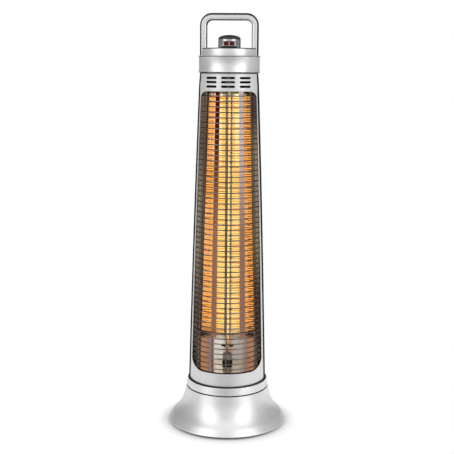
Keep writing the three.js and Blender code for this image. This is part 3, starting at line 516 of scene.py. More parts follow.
add_finish("satin_silver", (0.87, 0.87, 0.88), mottle=0.02, roughness=0.36, depth=0.006, Metallic=0.6)
add_finish("pod_silver", (0.68, 0.68, 0.69), mottle=0.02, roughness=0.28, Metallic=0.9)
add_finish("silver_paint", (0.72, 0.72, 0.73), roughness=0.4, depth=0.008, Metallic=0.35)
add_finish("polished_bar", (0.9, 0.9, 0.91), mottle=0.02, roughness=0.34, depth=0.003,
           stretch=(1, 1, 0.02), Metallic=0.5)
add_finish("bright_edge", (0.9, 0.9, 0.91), mottle=0.01, roughness=0.06, depth=0.001, Metallic=1.0)
# painted shade: black for the shadow in seams and gaps, and a painted dark reflection along the frame bar's
# edges
add_finish("black_edge", (0.012, 0.012, 0.013), mottle=0.02, roughness=0.5, depth=0.001,
           Specular_IOR_Level=0.02)
add_finish("bright_sheet", (0.88, 0.8, 0.7), mottle=0.04, roughness=0.05, roughness_spread=0.02,
           grain=14, depth=0.06, Metallic=1.0)
# painted shade: the panels' inside, bare zinc, is near black for the shade inside the body
add_finish("dark_zinc", (0.05, 0.047, 0.045), mottle=0.15, roughness=0.6, depth=0.02, Metallic=0.3)
# painted shade: the reflector's outer edges below the tinted rims are near black
add_finish("dark_sheet", (0.08, 0.06, 0.05), mottle=0.12, roughness=0.3, roughness_spread=0.05,
           grain=6, depth=0.03, Metallic=0.9)
add_finish("chrome_wire", (0.2, 0.18, 0.16), mottle=0.02, roughness=0.22, depth=0.002, Metallic=1.0)
add_finish("scorched_hoop", (0.1, 0.025, 0.02), mottle=0.15, Metallic=0.8)
add_finish("steel", (0.5, 0.5, 0.51), mottle=0.05, Metallic=1.0)
add_finish("zinc_sheet", (0.55, 0.57, 0.58), mottle=0.12, roughness=0.45, grain=4, Metallic=1.0)
add_finish("cast_iron", (0.1, 0.1, 0.105), mottle=0.15, roughness=0.75, depth=0.05, Metallic=0.4)
add_finish("black_plastic", (0.02, 0.02, 0.022), mottle=0.1, roughness=0.5, depth=0.02)
add_finish("gloss_black", (0.008, 0.008, 0.009), mottle=0.05, roughness=0.24, depth=0.001,
           Specular_IOR_Level=0.3)
add_finish("cap_black", (0.045, 0.045, 0.045), mottle=0.05, roughness=0.33, depth=0.001)
add_finish("black_rubber", (0.015, 0.015, 0.015), mottle=0.15, roughness=0.8, depth=0.03)
add_finish("red_plastic", (0.13, 0.003, 0.007), mottle=0.08, roughness=0.2, depth=0.002,
           Specular_IOR_Level=0.35)
add_finish("lamp_ceramic", (0.3, 0.29, 0.27), mottle=0.08, roughness=0.8, depth=0.02)
add_finish("quartz", (1.0, 1.0, 1.0), mottle=0.0, roughness=0.02, roughness_spread=0.0, depth=0.0,
           Transmission_Weight=1.0, IOR=1.46)
add_finish("lead_sheath", (0.7, 0.68, 0.6), mottle=0.06, roughness=0.7)

# Colours of heat tint and painted reflections on the reflector, and the slight painted glow that it gives
# off where the sheet is hazed and on its steps and rims
STRAW, MAUVE, PAINTED_SHADE_LINE = (0.6, 0.28, 0.13), (0.38, 0.25, 0.23), (0.1, 0.04, 0.03)
PALE, GREY = (0.98, 0.95, 0.88), (0.62, 0.58, 0.52)
PAINTED_GLOW = 0.4


def heat_tint_and_painted_light(name, stops, glow=0.0):
    """Heat tint with painted reflections on a step or rim of the reflector, in stops over the lamp's height,
    which also gives off a painted glow.
    """
    tree, shader = add_finish(name, stops[0][1], mottle=0.12, grain=8, depth=0.02,
                              Metallic=0.4, Emission_Strength=glow)
    tint = colour_ramp(tree, lamp_share(tree), stops)
    feed(tree, shader, {"Base Color": tint, "Emission Color": tint})


def step_tint(name, low_tint, high_tint):
    stops = [(0.0, low_tint), (0.45, low_tint), (0.8, high_tint), (1.0, high_tint)]
    heat_tint_and_painted_light(name, stops, PAINTED_GLOW)


# Steps and rims: heat tint with painted reflections, all giving off the painted glow
step_tint("left_step", (0.5, 0.22, 0.12), (0.12, 0.012, 0.01))
step_tint("right_step", (0.5, 0.25, 0.16), (0.98, 0.85, 0.83))
heat_tint_and_painted_light("left_rim", [
    (0.0, (0.1, 0.06, 0.04)), (0.2, (0.12, 0.08, 0.05)), (0.4, (0.32, 0.26, 0.18)),
    (0.6, (0.32, 0.26, 0.18)), (0.78, (0.14, 0.08, 0.04)), (1.0, (0.18, 0.1, 0.05))])
heat_tint_and_painted_light("right_rim", [
    (0.0, (0.04, 0.01, 0.006)), (0.25, (0.08, 0.03, 0.015)), (0.42, (0.28, 0.22, 0.13)),
    (0.75, (0.26, 0.2, 0.12)), (0.88, (0.06, 0.02, 0.012)), (1.0, (0.06, 0.02, 0.012))])


def reflector_finish():
    """Mirror sheet. Below the lamp's glowing length it is hazed, with upright stripes of heat tint and
    painted reflections, which give off a painted glow. Above the lamp it is darker with painted shade, and
    its outer strips are darker and warmer.
    """
    tree, shader = add_finish("reflector_sheet", (0.9, 0.82, 0.58), mottle=0.04, grain=14, depth=0.025,
                              Emission_Strength=PAINTED_GLOW)
    x, _, z = xyz(tree)
    haze = share_of(tree, z, COIL_FOOT - MM, COIL_FOOT + 9 * MM, 1.0, 0.0)
    across = share_of(tree, x, -BODY_BOTTOM_RADIUS, BODY_BOTTOM_RADIUS)
    # upright stripes of heat tint and painted reflections, with a thin painted shade line on the left; where
    # hazed they also give off the painted glow
    stripes = colour_ramp(tree, across, [
        (0.12, STRAW), (0.2, STRAW), (0.24, MAUVE), (0.28, MAUVE), (0.3, PAINTED_SHADE_LINE), (0.32, PALE),
        (0.42, PALE), (0.47, STRAW), (0.53, STRAW), (0.58, GREY), (0.68, GREY), (0.74, MAUVE),
        (0.8, STRAW), (0.88, STRAW)])
    # painted shade: the mirror is darker above the lamp's glowing length
    painted_shade_top = share_of(tree, z, COIL_TOP - MM, COIL_TOP + 3 * MM, 1.0, 0.25)
    # painted shade: the mirror's outer strips are darker and warmer
    aside = share_of(tree, maths(tree, "ABSOLUTE", x), 0.3 * BODY_TOP_RADIUS, 0.5 * BODY_TOP_RADIUS)
    painted_outer_shade = colour_ramp(tree, aside, [(0.0, (1, 1, 1)), (1.0, (0.8, 0.6, 0.55))])
    grained = shader.inputs["Base Color"].links[0].from_socket
    mirror = product(tree, grained, painted_outer_shade)
    colour = node(tree, "Mix", data_type="RGBA")
    feed(tree, colour, {0: haze, 6: scaled(tree, mirror, painted_shade_top), 7: stripes})
    feed(tree, shader, {
        "Base Color": colour.outputs[2],
        "Emission Color": scaled(tree, stripes, haze),
        "Roughness": share_of(tree, haze, 0.0, 1.0, 0.05, 0.35),
        "Metallic": share_of(tree, haze, 0.0, 1.0, 1.0, 0.3),
    })


def coil_finish():
    """Glowing carbon coil: yellow-white inside its turns, orange on their outside, dark at its ends."""
    strength, cold, full = 1.6, (0.02, 0.004, 0.0), (1, 1, 1)
    inside, outside = (1.0, 0.76, 0.2), (0.88, 0.33, 0.03)
    skin, blend = 1.75 * MM, 0.35 * MM
    tree, shader = add_finish("glowing_coil", (0.25, 0.12, 0.06), roughness=0.7, Emission_Strength=strength)
    x, y, _ = xyz(tree)
    level = result(tree, "CombineXYZ", {0: x, 1: y})
    away = node(tree, "VectorMath", {0: level}, operation="LENGTH").outputs["Value"]
    layer = share_of(tree, away, skin - blend, skin + blend)
    heat = colour_ramp(tree, layer, [(0.0, inside), (1.0, outside)])
    ends = colour_ramp(tree, lamp_share(tree), [(0.03, cold), (0.09, full), (0.945, full), (0.965, cold)])
    feed(tree, shader, {"Emission Color": product(tree, heat, ends)})


reflector_finish()
coil_finish()


# ----- Base -----
def base_bell():
    wall = 2 * MM
    rim_top = BELL_FOOT + MM
    flare = spread(LIP_HEIGHT, BELL_TOP, 22)
    outside = [(BASE_RADIUS, BELL_FOOT), (BASE_RADIUS, rim_top)] + [(bell_flare(z), z) for z in flare]
    inside = [(bell_flare(z) - wall, z) for z in spread(BELL_TOP - wall, LIP_HEIGHT, 12)]
    inside += [(BASE_RADIUS - wall, rim_top), (BASE_RADIUS - wall, BELL_FOOT)]
    flange = [(FLANGE_BORE, BELL_TOP), (FLANGE_BORE, BELL_TOP - wall)]
    bell = ringed("bell", outside + flange + inside, 160)
    rounded(bell, 0.8 * MM, 3, 18)
    hole, hole_centre = 5.8 * MM, (0, BASE_RADIUS, 28 * MM)
    cut(bell, [cylinder("gland_hole", hole, BASE_RADIUS, hole_centre, (pi / 2, 0, 0))])
    # painted shade: the flange's top, under the collar, is black for the shadow in the seam
    shaded(bell, lambda face: face.normal.z > 0.5 and face.center.z > BELL_TOP - MM)
    given(bell, "satin_silver", "base_bell", also=("black_edge",))


def collar():
    low, high = levels("collar_ring")
    wall = 1.2 * MM
    inner = COLLAR_TOP_RADIUS - wall
    outline = [(inner, low), (BELL_TOP_RADIUS, low), (COLLAR_TOP_RADIUS, high), (inner, high)]
    ring = rounded(ringed("collar", outline, 160), 0.8 * MM, 3)
    # painted shade: the ring's top and bottom faces are black for the shadow in its seams
    shaded(ring, lambda face: abs(face.normal.z) > 0.6)
    given(ring, "satin_silver", "collar_ring", also=("black_edge",))


def gasket(node_name, inner, outer, legs=True):
    seam_reach = 0.25 * MM  # the ring reaches past its node into the seams, widening its black line, which also stands in for the seams' shadow (painted shade)
    low, high = foot_of(node_name) - seam_reach, top_of(node_name) + seam_reach
    ring = ringed(node_name + "_ring", oblong(inner, outer, low, high))
    rounded(ring, 0.2 * MM, 2)
    if legs:
        cut(ring, leg_rooms(node_name))
    given(ring, "black_rubber", node_name)


def gaskets():
    seam_inset, collar_bore, head_bore = 1.4 * MM, 45.2 * MM, 29.2 * MM
    # black rubber rings, whose black also stands in for the shadow in the seams: painted shade
    gasket("collar_gasket_lower", FLANGE_BORE, BELL_TOP_RADIUS - seam_inset, legs=False)
    gasket("collar_gasket_upper", collar_bore, COLLAR_TOP_RADIUS - seam_inset)
    gasket("head_gasket", head_bore, BODY_TOP_RADIUS)


def side_rooms(inner, outer, low, high):
    """Cutters for the bar's two legs through a level piece."""
    half = BAR_DEPTH / 2 + FIT
    return [box("room", (side * inner, -half, low), (side * outer, half, high)) for side in (-1, 1)]


def leg_rooms(node_name):
    low, high = foot_of(node_name) - MM, top_of(node_name) + MM
    inner = min(bar_outer(low), bar_outer(high)) - BAR_WIDTH - FIT
    return side_rooms(inner, BEYOND, low, high)


def under(node_name):
    """The middle of a node's lowest level."""
    low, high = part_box(node_name)
    return ((low.x + high.x) / 2, (low.y + high.y) / 2, low.z)


def feet():
    """Round rubber pads with a grooved tread."""
    low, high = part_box("foot_1")
    radius, tall, edge = (high.x - low.x) / 2, high.z - low.z, 0.6 * MM
    deep, slope, width, pitch = 0.5 * MM, 0.3 * MM, 1.2 * MM, 2 * MM
    outline = [(0, tall), (radius, tall), (radius, deep), (radius - edge, 0)]
    for i in range(3):
        r = 6.2 * MM - i * pitch
        outline += [(r, 0), (r - slope, deep), (r - width + slope, deep), (r - width, 0)]
    pad = turned("pad", outline + [(0, 0)], 48)
    names = [f"foot_{i}" for i in range(1, 5)]
    issued(pad, "_pad", "black_rubber", [(name, (0, 0, 0), under(name)) for name in names])


def gland():
    """The supply lead's inlet: a threaded neck, a six-sided flange and a fluted dome nut."""
    low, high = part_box("cable_gland")
    length, corner = high.y - low.y, (high.z - low.z) / 2
    neck, bore, nut = 5.5 * MM, 3 * MM, 6.6 * MM
    seat, nut_foot, side = length - 11 * MM, length - 7 * MM, 3.4 * MM
    thread_depth, thread_rise = 0.35 * MM, 0.4 * MM
    crown_width, crown_rise = 2.4 * MM, 3.2 * MM
    flute, flute_length, flute_reach = 0.9 * MM, 9 * MM, 7.1 * MM
    outline = [(bore, 0), (neck, 0)]
    for y in spread(0.8 * MM, seat - 1.2 * MM, 8):
        outline += [(neck, y), (neck - thread_depth, y + thread_rise)]
    shoulder = nut_foot + side
    outline += [(neck, seat), (neck, nut_foot), (nut, nut_foot), (nut, shoulder)]
    outline += [(nut - crown_width * (1 - cos(t)), shoulder + crown_rise * sin(t))
                for t in spread(0.2, pi / 2, 6)]
    body = ringed("gland_body", outline + [(bore, length - 0.2 * MM)], 64)
    middle = (0, 0, seat + 0.2 * MM + side / 2)
    flange = cylinder("flange", corner, side, middle, (0, 0, pi / 6), vertices=6)
    rounded(flange, 0.5 * MM, 2)
    cut(flange, [turned("bore", oblong(0, bore, 0, length), 32)])
    centres = [around(flute_reach, i * pi / 6, nut_foot + 5 * MM) for i in range(12)]
    cut(body, [cylinder("flute", flute, flute_length, centre, vertices=12) for centre in centres])
    whole = joined([body, flange])
    whole.rotation_euler = (-pi / 2, 0, 0)
    whole.location = (0, low.y, (low.z + high.z) / 2)
    given(smoothed(placed(whole)), "black_plastic", "cable_gland")


# ----- Frame bar -----
def frame_bar():
    """A flat section run up one leg, round the corner and to the middle, then mirrored."""
    rail, handle_top = levels("frame_bar")
    heights = [rail] + spread(BODY_BOTTOM, BODY_TOP - BAR_DRAW_IN, 14) + [BODY_TOP]
    heights += [handle_top - HANDLE_CORNER]
    middle = [Vector((bar_outer(z) - BAR_WIDTH / 2, 0, z)) for z in heights]
    bar = plane("bar", BAR_WIDTH, BAR_DEPTH, middle[0])
    edit(bar)
    for here, there in zip(middle, middle[1:]):
        extrude(there - here)
    corner = (HANDLE_HALF_WIDTH - HANDLE_CORNER, 0, handle_top - HANDLE_CORNER)
    bpy.ops.mesh.spin(steps=14, angle=pi / 2, center=corner, axis=(0, 1, 0))
    extrude((-corner[0], 0, 0))
    bpy.ops.mesh.delete(type="ONLY_FACE")
    finish_edit()
    modified(bar, "MIRROR", use_axis=(True, False, False), merge_threshold=0.01 * MM)
    edit(bar)
    outward()
    return bar


def bar_piece():
    bar = frame_bar()
    for name in ("polished_bar", "bright_edge"):  # the edges need a slot of their own
        bar.data.materials.append(FINISH[name])
    rounded(bar, BAR_EDGE, 6, 60, material=1)
    hole, sink, deep, out = 2.1 * MM, 3.3 * MM, -16 * MM, 2 * MM
    outline = [(0, deep), (hole, deep), (hole, -2 * MM), (sink, -0.8 * MM), (sink, out), (0, out)]
    cutter = turned("countersink", outline, 24)
    cut(bar, [copied(cutter, "sink", turn, place) for _, turn, place in screw_places()])
    bpy.data.objects.remove(cutter)
    # painted reflection and shade: black along the bar's rounded edges and under the handle's top
    shaded(bar, bar_shade)
    given(bar, "polished_bar", "frame_bar", also=("bright_edge", "black_edge"))


def bar_shade(face):
    """0 polished, 1 bright, 2 black: a painted dark reflection along the bar's edges and painted shade
    inside the handle.
    """
    outwards = face.normal.x * copysign(1, face.center.x) + face.normal.z > 0
    facing = abs(face.normal.y)
    if face.material_index == 1:
        if outwards:
            return 2 if 0.15 < facing < 0.95 else 1
        return 2 if facing < 0.75 else 0
    return 2 if facing < 0.1 and not outwards and face.center.z > LID_TOP else 0


def screw_places():
    """Node, turn and place of each screw that holds a panel to the bar, head outwards."""
    places = []
    for name in sorted(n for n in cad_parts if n.startswith("side_screw")):
        low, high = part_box(name)
        head = high.x if high.x > 0 else low.x
        place = (head, (low.y + high.y) / 2, (low.z + high.z) / 2)
        places.append((name, (0, copysign(pi / 2, head), 0), place))
    return places


def cross_screw(name, radius, shank, length, head):
    """A screw with its head's top at the origin, pointing up, with a cross recess."""
    outline = [(0, -length), (shank - 0.4 * MM, -length), (shank, 0.8 * MM - length), (shank, -head),
               (radius, -0.35 * head), (radius, -0.12 * head), (0.7 * radius, 0), (0, 0)]
    made = rounded(turned(name, outline, 32), 0.12 * MM, 2, 30)
    long, short, deep = 0.62 * radius, 0.16 * radius, 0.5 * head
    cross, arm = [box("slot", (-x, -y, -deep), (x, y, MM)) for x, y in ((long, short), (short, long))]
    merged(cross, arm)
    return cut(made, [cross])


def screws():
    panel_screw = cross_screw("panel_screw", 3 * MM, shank=1.8 * MM, length=11.5 * MM, head=1.8 * MM)
    issued(panel_screw, "_steel", "steel", screw_places())
    low, high = levels("base_screw_1")
    base_screw = cross_screw("foot_screw", 3.6 * MM, shank=2 * MM, length=high - low, head=1.4 * MM)
    names = [f"base_screw_{i}" for i in (1, 2, 3)]
    issued(base_screw, "_steel", "steel", [(name, (pi, 0, 0), under(name)) for name in names])


# ----- Panels -----
def half_skin(name, way):
    """The half of the body's skin in front of the bar (way -1) or behind it (1)."""
    outside = [(body_radius(z) - SKIN_INSET, z) for z in spread(BODY_BOTTOM, BODY_TOP, 22)]
    skin = ringed(name, outside + [(r - SHEET, z) for r, z in reversed(outside)], 144)
    edit(skin)
    bpy.ops.mesh.bisect(
        plane_co=(0, way * (BAR_DEPTH / 2 + FIT), 0), plane_no=(0, -way, 0),
        clear_outer=True, use_fill=True)
    outward()
    return smoothed(skin)


def window_outline():
    low_corner, high_corner = 16 * MM, 10 * MM
    low, high = WINDOW_BOTTOM + low_corner, WINDOW_TOP - high_corner

    def half(z):
        return 0.92 * body_radius(z)

    right = arc((half(low) - low_corner, low), low_corner, -90, 0, 10)
    right += [(half(z), z) for z in spread(low, high, 20)[1:-1]]
    right += arc((half(high) - high_corner, high), high_corner, 0, 90, 8)
    level = [(x, WINDOW_TOP) for x in spread(right[-1][0], 0, 8)[1:]]
    floor_line = [(x, WINDOW_BOTTOM) for x in spread(0, right[0][0], 10)[1:-1]]
    right = floor_line + right + level
    return right + [(-x, z) for x, z in reversed(right[:-1])] + [(0, WINDOW_BOTTOM)]


def slot_outline(x0, x1, z, height):
    r = height / 2
    return arc((x1 - r, z), r, -90, 90) + arc((x0 + r, z), r, 90, 270)


def vents(drops, spans, height, way):
    """Cutters for rows of slots below the body's top."""
    return [extruded("vent", slot_outline(x0, x1, BODY_TOP - drop, height), 0, way * BEYOND)
            for drop in drops for x0, x1 in spans]


def front_panel():
    spans = [(x0 * MM, x1 * MM) for x0, x1 in ((-32, -16.5), (-10, 10), (16.5, 32))]
    panel = half_skin("front_shell", -1)
    window = extruded("window", window_outline(), -BEYOND, 0)
    cut(panel, [window] + vents((6.2 * MM, 12.1 * MM, 18.5 * MM), spans, 3.3 * MM, -1))
    sunk, hem_radius = 0.3 * MM, 0.75 * MM
    edge = [(x, skin_front(x, z, sunk), z) for x, z in closed(window_outline())]
    # painted shade on the panel's inside
    shaded(joined([panel, wire_along("hem", edge, hem_radius)]), faces_axis)
    given(panel, "silver_paint", "front_panel", also=("dark_zinc",))


def faces_axis(face):
    """Whether a face of a panel is on its inside, which is near black with painted shade."""
    x, y, z = face.center
    away = hypot(x, y)
    inward = x * face.normal.x + y * face.normal.y < -0.5 * away
    return inward and away < body_radius(z) - SKIN_INSET - 0.8 * SHEET


def skin_front(x, z, depth):
    """How far the skin lies in front of the axis, less a depth."""
    radius = body_radius(z) - SKIN_INSET - depth
    return -sqrt(max(radius**2 - x**2, 0))


def rear_cover():
    top_drop, bottom_drop, pitch = 75 * MM, BODY_TOP - BODY_BOTTOM - 25 * MM, 11 * MM
    drops = [start - row * pitch for start in (top_drop, bottom_drop) for row in range(5)]
    cover = half_skin("rear_shell", 1)
    # painted shade on the cover's inside
    shaded(cut(cover, vents(drops, [(-22 * MM, 22 * MM)], 3.5 * MM, 1)), faces_axis)
    given(cover, "silver_paint", "rear_cover", also=("dark_zinc",))


# ----- Grille -----
def grille():
    """Hoops spun together from their start sections, and three posts behind them."""
    reach = radians(75)
    margin, pitch = 7.2 * MM, 7.75 * MM
    top = WINDOW_TOP - margin
    sections = []
    for i in range(int((top - WINDOW_BOTTOM - margin) / pitch) + 1):
        z = top - i * pitch
        centre = around(hoop_radius(z), -reach, z)
        sections.append(circle("hoop", WIRE / 2, centre, (0, pi / 2, -reach)))
    hoops = joined(sections)
    edit(hoops)
    swept(reach, 28, 8)
    smoothed(hoops, 60)
    posts, behind, aside = [], WIRE * 0.92, radians(53.5)
    for turn in (-aside, 0, aside):
        high = WINDOW_TOP + MM if turn else BODY_TOP - 2 * MM
        line = [around(hoop_radius(z) - behind, turn, z) for z in spread(FLOOR_TOP + MM, high, 14)]
        posts.append(wire_along("post", line, WIRE / 2))
    given(joined([hoops, *posts]), "chrome_wire", "grille")


def support_hoop():
    low, high = levels("grille_support_hoop")
    thick, reach = 1.2 * MM, radians(63)
    outer = hoop_radius((low + high) / 2) - WIRE - FIT
    outline = closed(oblong(outer - thick, outer, low, high))
    hoop = drawn_line("support", [around(r, -reach, z) for r, z in outline])
    swept(reach, 48, 4)
    given(rounded(hoop, 0.3 * MM, 2, 60), "chrome_wire", "grille_support_hoop", finish="scorched_hoop")


# ----- Reflector -----
INNER_FOCUS = 0.35  # focal lengths and band limits, as shares of the body radius
OUTER_FOCUS = 0.5
INNER_BAND = 0.32
OUTER_BAND = INNER_BAND * OUTER_FOCUS / INNER_FOCUS  # so that the step points at the lamp
RIDGE_FLAT = 0.1  # half the flat strip behind the lamp
OUTER_END = 0.865  # of the body radius inside the bar
OUTER_TURN = radians(1.3)  # the outer strips turn outwards about the lamp


def reflector_half(radius):
    """Half of the section for a body radius: two parabolas that share the lamp's axis as focus."""
    def parabola(focus, x):
        return focus * radius - (x * radius) ** 2 / (4 * focus * radius)

    ridge = (0, parabola(INNER_FOCUS, RIDGE_FLAT))
    inner = [ridge] + [(x * radius, parabola(INNER_FOCUS, x)) for x in spread(RIDGE_FLAT, INNER_BAND, 12)]
    band_end = OUTER_END * (1 - BAR_WIDTH / radius)
    outer = [(x * radius, parabola(OUTER_FOCUS, x)) for x in spread(OUTER_BAND, band_end, 12)]
    along, across = cos(OUTER_TURN), sin(OUTER_TURN)
    outer = [(x * along + y * across, y * along - x * across) for x, y in outer]
    corner = (radius - 13.5 * MM, -13.2 * MM)
    flange = [(0.81 * radius, -0.34 * radius), (0.9 * radius, -0.29 * radius)]
    return inner + outer + [corner] + flange


def reflector():
    low, high = levels("reflector")
    rows = []
    for z in spread(low, TINT_FOOT, 2) + spread(TINT_FOOT, high, 7)[1:]:
        half = reflector_half(body_radius(z))
        section = [(-x, y) for x, y in reversed(half[1:])] + half
        rows.append(drawn_line("row", [(x, y, z) for x, y in section]))
    joined(rows)
    sheet = named("mirror")
    edit(sheet)
    bpy.ops.mesh.bridge_edge_loops(type="SINGLE")
    select_all()
    bpy.ops.mesh.normals_make_consistent(inside=False)
    finish_edit()
    if sum(face.normal.y * face.area for face in sheet.data.polygons) > 0:
        edit(sheet)
        bpy.ops.mesh.flip_normals()
        finish_edit()
    shaded(sheet, sheet_shade)
    modified(sheet, "SOLIDIFY", thickness=0.8 * MM, offset=-1.0)
    given(smoothed(sheet, 20), "bright_sheet", "reflector", finish="reflector_sheet",
          also=("dark_sheet", "left_step", "right_step", "left_rim", "right_rim"))


def sheet_shade(face):
    """0 mirror, 1 sheet darkened with painted shade below the tinted rims, 2 and 3 the steps, 4 and 5 the
    rims, tinted with heat tint, painted reflections and a painted glow.
    """
    x, _, z = face.center
    left, tinted = x < 0, z >= TINT_FOOT
    if abs(x) > 0.87 * (body_radius(z) - BAR_WIDTH):
        return (4 if left else 5) if tinted else 1
    step = INNER_BAND < abs(x) / body_radius(z) < OUTER_BAND
    return (2 if left else 3) if step and tinted else 0


# ----- Lamp -----
def lamp():
    outline = oblong(TUBE_BORE, TUBE_RADIUS, *levels("quartz_tube"))
    given(ringed("tube", outline, 48), "quartz", "quartz_tube")
    coil()
    seat = TUBE_RADIUS + FIT
    wall = seat + 1.5 * MM
    for node_name in ("ceramic_lower", "ceramic_upper"):
        ledge, lip = levels(node_name)
        if node_name == "ceramic_upper":
            lip, ledge = ledge, lip
        deep = between(lip, ledge, 0.56)
        outline = [(0, ledge), (wall, ledge), (wall, lip), (seat, lip), (seat, deep), (0, deep)]
        given(rounded(turned(node_name + "_socket", outline, 48), 0.5 * MM, 2), "lamp_ceramic", node_name)


def lamp_clamps():
    """A block with a rounded ear at each side under each ceramic, with a hole through its middle."""
    ear, ear_radius, waist, hole = 4 * MM, 4 * MM, 6.8 * MM, 2.5 * MM
    for node_name in ("lamp_clamp_lower", "lamp_clamp_upper"):
        low, high = levels(node_name)
        discs = ((0, waist), (-ear, ear_radius), (ear, ear_radius))
        block, *ears = [cylinder("disc", radius, high - low, (x, 0, (low + high) / 2), vertices=40)
                        for x, radius in discs]
        for other in ears:
            merged(block, other)
        cut(block, [turned("hole", oblong(0, hole, low - MM, high + MM), 24)])
        rounded(block, 0.5 * MM, 2)
        given(named(node_name + "_block"), "gloss_black", node_name)


def coil():
    """A wire wound into a helix, with a metal cap at each end of the tube."""
    low, high = levels("filament")
    outer, wire, pitch, stem = 2.25 * MM, 0.55 * MM, 3.65 * MM, 0.75 * MM
    helix = circle("helix", wire, (outer - wire, 0, COIL_FOOT), (pi / 2, 0, 0))
    modified(helix, "SCREW", axis="Z", angle=2 * pi, screw_offset=pitch, steps=14, render_steps=14,
             iterations=int((COIL_TOP - COIL_FOOT) / pitch), use_merge_vertices=False)
    edit(helix)
    bpy.ops.mesh.fill_holes(sides=8)
    outward()
    smoothed(helix, 60)
    radius, tall = TUBE_BORE - FIT, 6 * MM
    caps = []
    for foot, top, turn in ((low, low + tall, COIL_FOOT), (high - tall, high, COIL_TOP)):
        caps.append(rounded(turned("cap", oblong(0, radius, foot, top), 32), 0.4 * MM, 2))
        caps.append(wire_along("stem", [(0, 0, min(top, turn)), (0, 0, max(top, turn))], stem))
    given(joined([helix, *caps]), "glowing_coil", "filament")


# ----- Head -----
def head_band():
    low, high = levels("head_band")
    wall, bead, recess = 1.4 * MM, 0.9 * MM, 0.55 * MM
    inner = BAND_RADIUS - wall
    face = BAND_RADIUS - recess
    flange = LID_RADIUS - 5 * MM
    low_bead = arc((BAND_RADIUS - bead, low + bead), bead, -90, 60, 6)
    high_bead = arc((BAND_RADIUS - bead, high - bead), bead, -60, 90, 6)
    outline = [(inner, low), *low_bead, (face, low + 2.1 * bead), (face, high - 2.1 * bead), *high_bead,
               (flange, high), (flange, high - wall), (inner, high - wall)]
    band = ringed("band", outline, 160)
    rooms = side_rooms(HANDLE_HALF_WIDTH - BAR_WIDTH - FIT, inner, high - wall - MM, high + MM)
    # painted shade: the band's underside is black for the shadow of the gap below it
    shaded(cut(band, rooms), lambda face: face.normal.z < -0.2)
    given(band, "satin_silver", "head_band", also=("black_edge",))


def head_lid():
    low, high = levels("head_lid")
    edge, wall = 2.2 * MM, 1.6 * MM
    side, rim = LID_RADIUS - wall, LID_RADIUS - edge
    outline = [(0, high - wall), (side, high - wall), (side, low), (LID_RADIUS, low)]
    outline += arc((rim, high - edge), edge, 0, 90, 8) + [(0, high)]
    lid = turned("lid", outline, 160)
    # painted shade: a black line on the lid's rounded top edge
    shaded(cut(lid, leg_rooms("head_lid")),
           lambda face: 0.3 < face.normal.z < 0.97 and hypot(face.center.x, face.center.y) > rim)
    given(lid, "satin_silver", "head_lid", also=("black_edge",))


NICHE_TOP, NICHE_TOP_HALF, NICHE_FOOT_HALF = 9.6 * MM, 9 * MM, 11.3 * MM
NICHE_SLOPE = (NICHE_FOOT_HALF - NICHE_TOP_HALF) / NICHE_TOP
SILL_HEIGHT = 1.7 * MM


def trapezoid(bottom, low, top, high):
    return [(-bottom, low), (bottom, low), (top, high), (-top, high)]


def niche_outline(inset, low=0.0):
    """The switch recess: a trapezoid, from a height above its foot."""
    foot = max(inset, low)
    bottom = NICHE_FOOT_HALF - inset - NICHE_SLOPE * (foot - inset)
    return trapezoid(bottom, POD_FOOT + foot, NICHE_TOP_HALF - inset, POD_FOOT + NICHE_TOP - inset)


def pod():
    high, wall = top_of("pod_shell"), 1.6 * MM
    inner = POD_RADIUS - wall
    outline = [(inner, POD_FOOT), (POD_RADIUS, POD_FOOT), (POD_RADIUS, high), (0, high),
               (0, high - wall), (inner, high - wall)]
    shell = ringed("pod_wall", outline, 96)
    cut(shell, [extruded("niche", niche_outline(0), -BEYOND, -POD_RADIUS / 2)])
    given(rounded(shell, 0.3 * MM, 2), "satin_silver", "pod_shell", finish="pod_silver")
    low, crown = levels("pod_cap")
    rim, shoulder, inset = low + 1.2 * MM, low + 1.6 * MM, 0.5 * MM
    dome = [((POD_RADIUS - inset) * cos(t), shoulder + (crown - shoulder) * sin(t) ** 1.1)
            for t in spread(0.12, pi / 2, 14)]
    cap = turned("cap_dome", [(0, low), (POD_RADIUS, low), (POD_RADIUS, rim)] + dome[:-1] + [(0, crown)], 96)
    given(rounded(cap, 0.4 * MM, 3, 30), "gloss_black", "pod_cap", finish="cap_black")


